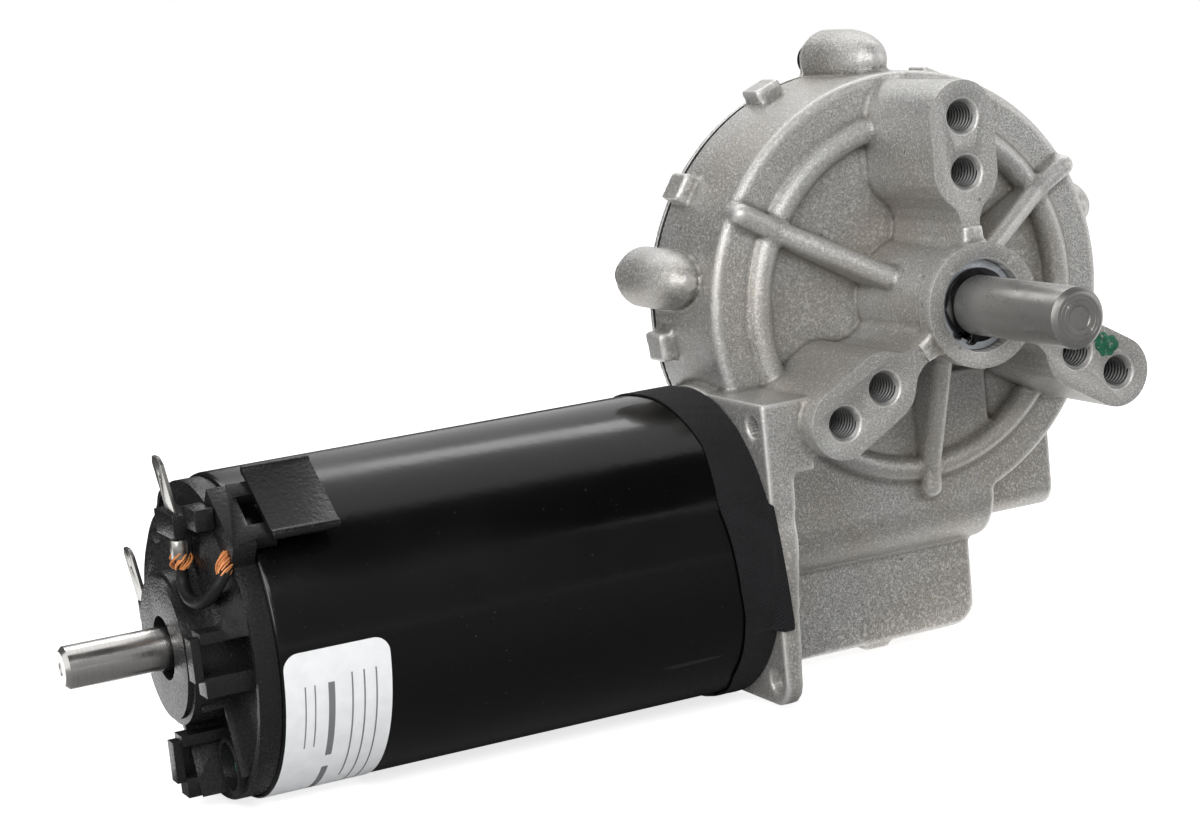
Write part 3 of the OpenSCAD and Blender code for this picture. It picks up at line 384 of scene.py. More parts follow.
class Graph:
    """Builds one material's nodes round its surface shader."""

    def __init__(self, name: str) -> None:
        """Start a material with a bare surface shader.

        Args:
            name: Name of the material.
        """
        self.material = bpy.data.materials.new(name)
        self.material.use_nodes = True
        self.tree = self.material.node_tree
        self.shader = next(node for node in self.tree.nodes if node.type == "BSDF_PRINCIPLED")

    def feed(self, socket: Socket, value: object) -> None:
        """Link an input to an output, or fill it with a value or a colour.

        Args:
            socket: The input.
            value: The output, number, vector or colour.
        """
        if isinstance(value, Socket):
            self.tree.links.new(value, socket)
        elif socket.type == "RGBA":
            socket.default_value = (*value, 1.0)
        else:
            socket.default_value = value

    def put(self, kind: str, inputs: dict[str, object] | None = None, **options: object) -> bpy.types.Node:
        """Add a node, link or fill its inputs and set its options.

        Args:
            kind: Type of the node.
            inputs: Input name or number to output or value.
            **options: Options of the node.

        Returns:
            The new node.
        """
        node = self.tree.nodes.new(kind)
        for key, value in options.items():
            setattr(node, key, value)
        for key, value in (inputs or {}).items():
            self.feed(node.inputs[int(key)] if key.isdigit() else node.inputs[key], value)
        return node

    def place(self, scale: Point = (1, 1, 1), output: str = "Object", spot: Point = (0, 0, 0)) -> Socket:
        """The piece's own coordinates, moved and stretched.

        Args:
            scale: Stretch along each axis.
            output: Which coordinates, Object or UV.
            spot: Point in metres that becomes the pattern's centre.

        Returns:
            The vector socket.
        """
        source = self.put("ShaderNodeTexCoord").outputs[output]
        moved = self.put("ShaderNodeVectorMath", {"0": source, "1": spot}, operation="SUBTRACT").outputs[0]
        return self.put("ShaderNodeMapping", {"Vector": moved, "Scale": scale}).outputs[0]

    def noise(self, scale: float, detail: float = 2, vector: Socket | None = None) -> Socket:
        """Soft noise between about 0.3 and 0.7.

        Args:
            scale: Cells in a metre.
            detail: Octaves.
            vector: Where to read it.

        Returns:
            The value socket.
        """
        where = vector or self.place()
        return self.put("ShaderNodeTexNoise", {"Vector": where, "Scale": scale, "Detail": detail}).outputs[0]

    def ramp(self, value: Socket, low: float, high: float, to: Pair = (0, 1)) -> Socket:
        """Stretch a value from one range to another, held at both ends.

        Args:
            value: The value.
            low: Lower end of its range.
            high: Upper end of its range.
            to: The new range.

        Returns:
            The value socket.
        """
        inputs = {"Value": value, "From Min": low, "From Max": high, "To Min": to[0], "To Max": to[1]}
        return self.put("ShaderNodeMapRange", inputs).outputs[0]

    def blend(self, factor: Socket, first: object, second: object) -> Socket:
        """Mix two colours.

        Args:
            factor: How much of the second colour.
            first: First colour or socket.
            second: Second colour or socket.

        Returns:
            The colour socket.
        """
        node = self.put("ShaderNodeMix", data_type="RGBA", blend_type="MIX")
        colours = [socket for socket in node.inputs if socket.type == "RGBA"]
        for socket, value in zip([node.inputs[0], *colours], (factor, first, second)):
            self.feed(socket, value)
        return next(socket for socket in node.outputs if socket.type == "RGBA")

    def multiply(self, first: object, second: object) -> Socket:
        """Returns the product of two values or sockets."""
        return self.put("ShaderNodeMath", {"0": first, "1": second}, operation="MULTIPLY").outputs[0]

    def bump(self, height: Socket, depth: float, strength: float = 1, under: Socket | None = None) -> Socket:
        """Raise the surface by a height map.

        Args:
            height: The height, 0 to 1.
            depth: Height in millimetres that 1 stands for.
            strength: How much of it counts.
            under: A bump that lies below this one.

        Returns:
            The normal socket.
        """
        inputs: dict[str, object] = {"Height": height, "Distance": depth * MM, "Strength": strength}
        if under:
            inputs["Normal"] = under
        return self.put("ShaderNodeBump", inputs).outputs[0]

    def pointed(self, low: float, high: float, to: Pair = (0, 1)) -> Socket:
        """How far a place is an outer edge rather than a hollow.

        Args:
            low: Pointiness that gives the first value.
            high: Pointiness that gives the second value.
            to: The two values.

        Returns:
            The value socket.
        """
        return self.ramp(self.put("ShaderNodeNewGeometry").outputs["Pointiness"], low, high, to)

    def surface(self, **inputs: object) -> bpy.types.Material:
        """Link or set the surface shader's inputs.

        Args:
            **inputs: Input name, with _ for each space, to socket or value.

        Returns:
            The finished material.
        """
        for key, value in inputs.items():
            self.feed(self.shader.inputs[key.replace("_", " ")], value)
        return self.material


@dataclass(frozen=True)
class CastMetal:
    """Shot-blasted die-cast alloy: satin, speckled, brighter along its worn crests, and darkened in its
    hollows as painted shade.
    """

    name: str
    colour: Colour
    tint: Colour
    roughness: float = 0.42
    pointiness_tones: bool = True
    crest_colour: Colour = (0.8, 0.79, 0.77)
    metallic: float = 0.62

    def make(self) -> bpy.types.Material:
        """Returns the material."""
        g = Graph(self.name)
        fine = g.noise(3600, 3)
        cells = g.noise(1500, 4)
        clouds = g.noise(30, 4)
        tone = g.blend(g.ramp(clouds, 0.44, 0.6), self.colour, self.tint)
        tone = g.blend(g.ramp(fine, 0.4, 0.6), times(self.colour, 0.55), tone)
        tone = g.blend(g.ramp(cells, 0.52, 0.66, (0.0, 0.5)), tone, times(self.colour, 1.45))
        specks = g.ramp(g.noise(520, 4), 0.7, 0.73, (0, 0.8))
        tone = g.blend(specks, tone, times(self.colour, 0.3))
        if self.pointiness_tones:
            # Painted shade: hollows, where pointiness is low, are darkened towards a dark brown.
            tone = g.blend(g.pointed(0.455, 0.498, (0.9, 0.0)), tone, times(self.tint, 0.3))
            # Worn crests turn paler.
            tone = g.blend(g.pointed(0.505, 0.54, (0.0, 0.85)), tone, self.crest_colour)
        rough = g.ramp(cells, 0.35, 0.7, (self.roughness - 0.1, self.roughness + 0.1))
        relief = g.bump(g.noise(260, 3), 0.08, 0.5)
        relief = g.bump(cells, 0.16, 0.7, relief)
        relief = g.bump(fine, 0.1, 0.9, relief)
        return g.surface(Base_Color=tone, Metallic=self.metallic, Roughness=rough, Normal=relief)


@dataclass(frozen=True)
class MachinedMetal:
    """Turned, ground or plated metal: fine lines that run with its stretch, and small stains."""

    name: str
    colour: Colour
    roughness: float
    lines: float = 900
    depth: float = 0.02
    metallic: float = 1.0
    pointiness_tones: bool = True
    centre: Point = (0.0, 0.0, 0.0)
    stretch: Point = (1.0, 1.0, 1.0)
    edge_colour: Colour = (0.85, 0.85, 0.84)

    def make(self) -> bpy.types.Material:
        """Returns the material."""
        g = Graph(self.name)
        lines = g.noise(self.lines, 2, g.place(self.stretch, spot=times(self.centre, MM)))
        stains = g.noise(150, 3)
        tone = g.blend(g.ramp(lines, 0.3, 0.7), times(self.colour, 0.86), self.colour)
        tone = g.blend(g.ramp(stains, 0.5, 0.75, (0, 0.3)), tone, times(self.colour, 0.72))
        if self.pointiness_tones:
            tone = g.blend(g.pointed(0.53, 0.6, (0.0, 0.5)), tone, self.edge_colour)
        rough = g.ramp(stains, 0.35, 0.7, (self.roughness - 0.05, self.roughness + 0.08))
        relief = g.bump(lines, self.depth, 0.6)
        return g.surface(Base_Color=tone, Metallic=self.metallic, Roughness=rough, Normal=relief)


@dataclass(frozen=True)
class GlossPaint:
    """Black gloss paint on rolled steel: dust, hairline scratches and a slight orange peel."""

    name: str
    colour: Colour
    roughness: float
    dust_colour: Colour = (0.12, 0.12, 0.12)
    scratch_colour: Colour = (0.06, 0.06, 0.06)

    def make(self) -> bpy.types.Material:
        """Returns the material."""
        g = Graph(self.name)
        dust = g.ramp(g.noise(1500, 4), 0.71, 0.76, (0, 0.35))
        scratches = g.ramp(g.noise(240, 2, g.place((0.06, 1, 1))), 0.735, 0.75, (0, 0.25))
        tone = g.blend(dust, self.colour, self.dust_colour)
        tone = g.blend(scratches, tone, self.scratch_colour)
        rough = g.ramp(g.noise(22, 3), 0.35, 0.7, (self.roughness - 0.05, self.roughness + 0.1))
        peel = g.bump(g.noise(420, 2), 0.05, 0.5)
        return g.surface(Base_Color=tone, Roughness=rough, Normal=peel, Specular_IOR_Level=0.42)


@dataclass(frozen=True)
class Moulding:
    """Moulded plastic, rubber or pressed powder with a fine grain, dust and paler worn edges."""

    name: str
    colour: Colour
    roughness: float
    grain: float = 1400
    depth: float = 0.05
    level: float = 0.3
    dust_colour: Colour = (0.25, 0.25, 0.24)

    def make(self) -> bpy.types.Material:
        """Returns the material."""
        g = Graph(self.name)
        grain = g.noise(self.grain, 3)
        patches = g.ramp(g.noise(60, 3), 0.4, 0.7)
        tone = g.blend(patches, self.colour, tuple(c * 1.5 + 0.002 for c in self.colour))
        edge_colour = tuple(min(1.0, c * 2.5 + 0.012) for c in self.colour)
        tone = g.blend(g.pointed(0.52, 0.6, (0.0, 0.5)), tone, edge_colour)
        dust = g.ramp(g.noise(1100, 4), 0.7, 0.75, (0, 0.25))
        tone = g.blend(dust, tone, self.dust_colour)
        rough = g.ramp(grain, 0.3, 0.7, (self.roughness - 0.08, self.roughness + 0.08))
        relief = g.bump(grain, self.depth, 0.7)
        return g.surface(Base_Color=tone, Roughness=rough, Normal=relief, Specular_IOR_Level=self.level)


@dataclass(frozen=True)
class WovenTape:
    """Woven cloth tape: warp and weft cross at the scale of its own UV map, with a little fuzz."""

    name: str
    colour: Colour
    thread: float

    def make(self) -> bpy.types.Material:
        """Returns the material."""
        g = Graph(self.name)
        cells = math.pi / (self.thread * MM)
        place = g.put("ShaderNodeSeparateXYZ", {"0": g.place((cells, cells, 1), "UV")})
        across = g.put("ShaderNodeMath", {"0": place.outputs[0]}, operation="SINE").outputs[0]
        along = g.put("ShaderNodeMath", {"0": place.outputs[1]}, operation="SINE").outputs[0]
        weave = g.ramp(g.multiply(across, along), -1, 1)
        fuzz = g.noise(2400, 4)
        patches = g.ramp(g.noise(90, 3), 0.4, 0.7, (0, 0.4))
        tone = g.blend(g.ramp(weave, 0.2, 0.9), times(self.colour, 0.3), times(self.colour, 1.7))
        tone = g.blend(g.ramp(fuzz, 0.62, 0.75, (0, 0.5)), tone, times(self.colour, 2.6))
        tone = g.blend(patches, tone, times(self.colour, 1.8))
        relief = g.bump(weave, 0.2, 0.9)
        relief = g.bump(fuzz, 0.08, 0.6, relief)
        sheen = {"Specular_IOR_Level": 0.2, "Sheen_Weight": 0.06}
        return g.surface(Base_Color=tone, Roughness=0.7, Normal=relief, **sheen)


@dataclass(frozen=True)
class LabelPaper:
    """Coated white label stock with faint mottling."""

    name: str
    colour: Colour

    def make(self) -> bpy.types.Material:
        """Returns the material."""
        g = Graph(self.name)
        tone = g.blend(g.ramp(g.noise(300, 4), 0.35, 0.7), self.colour, times(self.colour, 0.93))
        relief = g.bump(g.noise(160, 3), 0.06, 0.5)
        return g.surface(Base_Color=tone, Roughness=0.38, Normal=relief, Specular_IOR_Level=0.35)


@dataclass(frozen=True)
class PaintMark:
    """A dab of green inspection paint that has worn thin in places."""

    name: str
    colour: Colour
    worn_colour: Colour = (0.2, 0.24, 0.2)

    def make(self) -> bpy.types.Material:
        """Returns the material."""
        g = Graph(self.name)
        worn = g.ramp(g.noise(900, 4), 0.56, 0.66)
        tone = g.blend(g.ramp(g.noise(500, 2), 0.35, 0.7), self.colour, times(self.colour, 2.2))
        tone = g.blend(worn, tone, self.worn_colour)
        relief = g.bump(g.noise(700, 3), 0.12, 0.7)
        return g.surface(Base_Color=tone, Roughness=0.35, Normal=relief, Specular_IOR_Level=0.4)


MOTOR_AXIS: Point = (0.0, 42.0, -51.5)
ALONG_MOTOR = {"centre": MOTOR_AXIS, "stretch": (1.0, 0.03, 0.03)}
ALONG_OUTPUT = {"stretch": (0.03, 1.0, 0.03)}
ALONG_CORE = {"centre": MOTOR_AXIS, "stretch": (1.0, 0.02, 0.02)}
ALONG_WINDING = {"centre": MOTOR_AXIS, "stretch": (0.05, 1.0, 1.0)}


class Finishes:
    """All materials of the gear motor, made once."""

    def __init__(self) -> None:
        """Make every finish."""
        metal, moulded = MachinedMetal, Moulding
        blasted = CastMetal("blasted cast alloy", (0.58, 0.575, 0.56), (0.51, 0.47, 0.41))
        machined = CastMetal("machined cast alloy", (0.56, 0.555, 0.54), (0.54, 0.52, 0.49), 0.46, False)
        turned = metal("turned grey steel", (0.27, 0.265, 0.255), 0.3, 5200, 0.06, 0.7, **ALONG_OUTPUT)
        ground = metal("ground bright steel", (0.78, 0.76, 0.74), 0.24, 5200, 0.04, **ALONG_MOTOR)
        wire = metal("enamelled copper wire", (0.55, 0.2, 0.07), 0.35, 2600, 0.2, **ALONG_WINDING)
        self.cast = blasted.make()
        self.cut_cast = machined.make()
        self.thread = metal("cut thread", (0.8, 0.79, 0.77), 0.24).make()
        # Near-black metal for the threads' flanks and roots: painted shade in the grooves.
        self.groove = metal("thread groove with painted shade", (0.03, 0.029, 0.028), 0.5).make()
        self.turned = turned.make()
        self.ground = ground.make()
        self.zinc = metal("zinc plated steel", (0.8, 0.85, 0.91), 0.3, 700, 0.02, 0.55).make()
        self.tin = metal("tinned brass", (0.5, 0.49, 0.46), 0.3).make()
        self.spring = metal("oiled spring steel", (0.03, 0.03, 0.032), 0.3).make()
        self.copper = metal("bare copper strands", (0.74, 0.29, 0.1), 0.45, 3000, 0.02, 0.3, False).make()
        self.bronze = metal("oiled bronze", (0.5, 0.32, 0.14), 0.34, 1800).make()
        self.brass = metal("brass sheet", (0.62, 0.44, 0.18), 0.32).make()
        self.core = metal("core laminations", (0.28, 0.27, 0.27), 0.45, 1500, 0.12, **ALONG_CORE).make()
        self.bolt = metal("blackened bolt steel", (0.045, 0.045, 0.048), 0.36, 1100).make()
        self.enamel = wire.make()
        self.paint = GlossPaint("black gloss paint", (0.002, 0.002, 0.002), 0.18).make()
        self.plastic = moulded("matte black moulding", (0.003, 0.003, 0.0035), 0.28, 1500, 0.16, 0.36).make()
        self.satin = moulded("satin black moulding", (0.004, 0.004, 0.0045), 0.28, 1100, 0.16, 0.34).make()
        self.rubber = moulded("black cable sheath", (0.006, 0.006, 0.006), 0.45, 2200, 0.03, 0.2).make()
        self.gasket = moulded("black gasket rubber", (0.012, 0.012, 0.012), 0.6, 1800).make()
        self.magnet = moulded("grey ferrite", (0.06, 0.06, 0.065), 0.6, 700, 0.1).make()
        self.board = moulded("brown laminate board", (0.2, 0.09, 0.04), 0.5, 500).make()
        self.carbon = moulded("carbon brush", (0.03, 0.03, 0.03), 0.55, 2200, 0.08).make()
        self.nylon = moulded("cream nylon", (0.62, 0.57, 0.42), 0.4, 600, 0.03, 0.4).make()
        self.ink = moulded("label print", (0.1, 0.1, 0.105), 0.5, 900, 0.01).make()
        self.tape = WovenTape("black woven cloth", (0.01, 0.01, 0.0115), 0.42).make()
        self.label = LabelPaper("white label stock", (0.86, 0.87, 0.88)).make()
        self.green = PaintMark("green inspection paint", (0.006, 0.075, 0.04)).make()


# Gear end


@dataclass
class GearHousing:
    """The ribbed die-cast housing with three arms, and the machined places on it."""

    finishes: Finishes
    voxel: float = 0.62
    rounds: int = 4
    most_faces: int = 170000
    pad_circles: tuple[float, ...] = (31.0, 44.0)
    arm_angles: tuple[int, ...] = (90, 210, 330)
    pad_reach: Pair = (18.5, 70.0)
    spare: float = 1.2
    clear_y: float = -9.0
    hole_r: float = 4.0
    hole_depth: float = 18.0
    countersink: Pair = (0.5, 1.5)
    drill_point: float = 2.0
    plug_r: float = 4.4
    plug_y: float = -0.6
    crest_r: float = 3.42
    crest_half: float = 0.26
    root_gap: float = 0.06
    pitch: float = 1.25
    turns: int = 12
    thread_y: float = 0.5
    thread_wall: float = 0.12
    ring_y: float = -2.75
    ring_reach: float = 18.0
    recess_r: float = 10.75
    recess_y: float = 1.85
    recess_edge: float = 0.4
    seat_x: float = -56.2
    flange_hole_r: float = 2.5
    flange_drill: Pair = (-3.0, 10.0)
    flange_holes: tuple[Pair, ...] = ((11.6, -21.1), (11.6, -81.9))
    mark_at: Point = (35.0, -0.02, -14.8)
    mark_r: float = 3.1

    def hole_places(self) -> list[Pair]:
        """Returns x and z of the six pad holes."""
        places = []
        for angle in self.arm_angles:
            for radius in self.pad_circles:
                turned = math.radians(angle)
                places.append((radius * math.cos(turned), radius * math.sin(turned)))
        return places

    def raise_faces(self, body: bpy.types.Object, y: float) -> None:
        """Extrude the flat faces that lie at one height outwards, as spare stock for machining.

        Args:
            body: The housing.
            y: Height of the faces.
        """
        edit(body, "DESELECT")
        bpy.ops.mesh.select_mode(type="FACE")
        bpy.ops.object.mode_set(mode="OBJECT")
        for polygon in body.data.polygons:
            flat = all(abs(body.data.vertices[v].co.y - y) < 0.01 for v in polygon.vertices)
            polygon.select = flat and polygon.normal.y < -0.9
        bpy.ops.object.mode_set(mode="EDIT")
        bpy.ops.mesh.extrude_region_move(TRANSFORM_OT_translate={"value": (0, -self.spare, 0)})
        bpy.ops.object.mode_set(mode="OBJECT")

    def cast(self) -> bpy.types.Object:
        """Returns the housing with cast edges and crisp machined places."""
        body = from_node("gear_housing", "cast_housing")
        self.raise_faces(body, 0.0)
        self.raise_faces(body, self.ring_y)
        plugs = []
        start, stop, r = self.plug_y, self.hole_depth, self.plug_r
        for x, z in self.hole_places():
            plug = turn("plug", [(start, 0), (start, r), (stop, r), (stop, 0)], 24)
            plugs.append(lay(plug, Way.ALONG_Y, (x, 0, z)))
        body = join([body, *plugs])
        soften(body, self.voxel, self.rounds, self.most_faces)
        self.machine(body)
        return body

    def machine(self, body: bpy.types.Object) -> None:
        """Cut the pads, the hub's ring and recess, and the holes.

        Args:
            body: The cast housing.
        """
        clear, y = self.clear_y, self.ring_y
        inner, outer = self.pad_reach
        pads = turn("pads", [(clear, inner), (0, inner), (0, outer), (clear, outer), (clear, inner)], 48)
        cut(body, lay(pads, Way.ALONG_Y))
        r = self.ring_reach
        face = turn("face", [(clear, 0), (y, 0), (y, r), (clear, r), (clear, 0)], 48)
        cut(body, lay(face, Way.ALONG_Y))
        r, edge = self.recess_r, self.recess_edge
        wide = [(clear, 0), (clear, r + edge), (y, r + edge), (y + edge, r)]
        recess = turn("recess", [*wide, (self.recess_y, r), (self.recess_y, 0)], 96)
        cut(body, lay(recess, Way.ALONG_Y))
        r, depth = self.hole_r, self.hole_depth
        sink, flare = self.countersink
        for x, z in self.hole_places():
            steps = [(-1, 0), (-1, r + flare), (sink, r), (depth, r), (depth + self.drill_point, 0)]
            cut(body, lay(turn("drill", steps, 48), Way.ALONG_Y, (x, 0, z)))
        r = self.flange_hole_r
        start, stop = self.flange_drill
        for y_hole, z_hole in self.flange_holes:
            drill = turn("drill", [(start, 0), (start, r), (stop, r), (stop, 0)], 40)
            cut(body, lay(drill, Way.ALONG_X, (self.seat_x, y_hole, z_hole)))

    def dress_cuts(self, body: bpy.types.Object) -> None:
        """Give the flat machined faces of the pads, the hub's ring and its recess their own finish.

        Args:
            body: The finished housing, in metres.
        """
        body.data.materials.append(self.finishes.cut_cast)
        levels = [level * MM for level in (0.0, self.ring_y, self.recess_y)]
        for polygon in body.data.polygons:
            y = polygon.center.y
            if polygon.normal.y < -0.98 and min(abs(y - level) for level in levels) < 0.02 * MM:
                polygon.material_index = 1

    def threads(self) -> bpy.types.Object:
        """Returns the six threaded walls of the pad holes, as one piece."""
        middle, half = self.pitch / 2, self.crest_half
        root, crest = self.hole_r + self.root_gap, self.crest_r
        profile = [(root, 0, 0), (crest, 0, middle - half), (crest, 0, middle + half), (root, 0, self.pitch)]
        sleeves = []
        for x, z in self.hole_places():
            wall = draw_line("thread", profile)
            apply_modifier(
                wall, "SCREW", angle=math.tau, screw_offset=self.pitch, iterations=self.turns, steps=32,
                render_steps=32, axis="Z", use_merge_vertices=True, merge_threshold=0.01,
            )
            apply_modifier(wall, "SOLIDIFY", thickness=self.thread_wall, offset=-1)
            face_outwards(wall)
            sleeves.append(lay(wall, Way.ALONG_Y, (x, self.thread_y, z)))
        sleeves = join(sleeves)
        sleeves.name = "pad_threads"
        return sleeves

    def paint_groove_shade(self, threads: bpy.types.Object) -> None:
        """Paint the flanks and roots of the threads near black, as painted shade in their grooves.

        Args:
            threads: The finished threads, in metres.
        """
        threads.data.materials.append(self.finishes.groove)
        for polygon in threads.data.polygons:
            spot = polygon.center
            off = min(math.hypot(spot.x - x * MM, spot.z - z * MM) for x, z in self.hole_places())
            # Faces outside the crests get the near-black finish, which paints the grooves' shade.
            if off > (self.crest_r + 0.05) * MM:
                polygon.material_index = 1

    def build(self) -> None:
        """Build and dress the housing, its threads and the paint dab on a pad."""
        body = self.cast()
        hand_over(body, self.finishes.cast, Body.HOUSING, ("gear_housing",), 50)
        self.dress_cuts(body)
        threads = self.threads()
        hand_over(threads, self.finishes.thread, Body.HOUSING, (), 25)
        self.paint_groove_shade(threads)
        dab = paint_dab("pad_paint_mark", self.mark_at, self.mark_r, Way.ALONG_Y)
        hand_over(dab, self.finishes.green, Body.HOUSING)


def paint_dab(name: str, spot: Point, radius: float, way: Way, thick: float = 0.08) -> bpy.types.Object:
    """A dab of paint with an uneven outline and a raised middle.

    Args:
        name: Name of the new object.
        spot: Centre of the dab.
        radius: Its mean radius.
        way: Axis that its face looks back along.
        thick: How far the middle is raised.

    Returns:
        The new object, in millimetres.
    """
    clear_selection()
    bpy.ops.mesh.primitive_circle_add(vertices=72, radius=radius, fill_type="NGON")
    dab = bpy.context.active_object
    dab.name = name
    lobes = ((0.16, 2, 0.6), (0.09, 3, 2.0), (0.05, 7, 0.0))
    for vertex in dab.data.vertices:
        angle = math.atan2(vertex.co.y, vertex.co.x)
        vertex.co *= 1 + sum(share * math.sin(count * angle + phase) for share, count, phase in lobes)
    edit(dab)
    bpy.ops.mesh.inset(thickness=radius * 0.12, depth=0)
    bpy.ops.transform.translate(value=(0, 0, -thick))
    bpy.ops.object.mode_set(mode="OBJECT")
    apply_modifier(dab, "SOLIDIFY", thickness=0.04, offset=1)
    return lay(dab, way, spot)


@dataclass
class GearCover:
    """The cover at the back of the gear case and its screws."""

    finishes: Finishes
    voxel: float = 0.55
    rounds: int = 3
    most_faces: int = 120000

    def build(self) -> None:
        """Build and dress the cover and its screws."""
        cover = from_node("rear_cover", "cast_cover")
        soften(cover, self.voxel, self.rounds, self.most_faces)
        hand_over(cover, self.finishes.cast, Body.HOUSING, ("rear_cover",), 50)
        screws = from_node("cover_screws", "cover_screw_set")
        round_edges(screws, 0.35, 40, 3)
        hand_over(screws, self.finishes.bolt, Body.HOUSING, ("cover_screws",))


@dataclass
class OutputShaft:
    """The turned output shaft with its circlip and the hub's washer."""

    finishes: Finishes
    radius: float = 7.0
    tip_y: float = -41.0
    chamfer: float = 1.1
    soft: float = 0.1
    groove: Pair = (-0.55, 0.55)
    groove_depth: float = 0.7
    centre_r: float = 2.6
    centre_depth: float = 0.25
    wide_ring: tuple[float, ...] = (3.9, 4.0, 4.15, 4.25)
    fine_ring: tuple[float, ...] = (4.95, 5.02, 5.1)
    ring_depths: Pair = (0.08, 0.06)
    rear_chamfer: float = 0.8

    def shaft(self) -> bpy.types.Object:
        """Returns the shaft, with a centre hole and two turned rings in its free end."""
        r, tip, soft = self.radius, self.tip_y, self.soft
        hole, deep = self.centre_r, self.centre_depth
        low, high = self.groove
        floor = r - self.groove_depth
        start, stop = r - self.chamfer, tip + self.chamfer
        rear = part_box("output_shaft")[1][1] / MM
        centre = [(tip + deep, 0), (tip + deep, hole), (tip + 0.02, hole + deep), (tip, hole + 2 * deep)]
        wide, fine = (tip + depth for depth in self.ring_depths)
        rings = [*zip((tip, wide, wide, tip), self.wide_ring), *zip((tip, fine, tip), self.fine_ring)]
        edge = [(tip, start - 0.15), (tip + 0.06, start), (stop - 0.06, r - 0.05), (stop + 0.12, r)]
        groove = [
            (low - soft, r), (low, r - soft), (low, floor),
            (high, floor), (high, r - soft), (high + soft, r),
        ]
        back = [(rear - self.rear_chamfer, r), (rear, r - self.rear_chamfer), (rear, 0)]
        steps = [*centre, *rings, *edge, *groove, *back]
        return lay(turn("turned_output_shaft", steps, 160), Way.ALONG_Y)

    def build(self) -> None:
        """Build and dress the shaft, the circlip and the washer."""
        hand_over(self.shaft(), self.finishes.turned, Body.OUTPUT, ("output_shaft",), 30)
        circlip = from_node("shaft_circlip", "spring_circlip")
        round_edges(circlip, 0.2, 40, 3)
        hand_over(circlip, self.finishes.spring, Body.OUTPUT, ("shaft_circlip",))
        washer = from_node("hub_washer", "zinc_washer")
        round_edges(washer, 0.15, 40, 2)
        hand_over(washer, self.finishes.zinc, Body.HOUSING, ("hub_washer",))


# Motor end


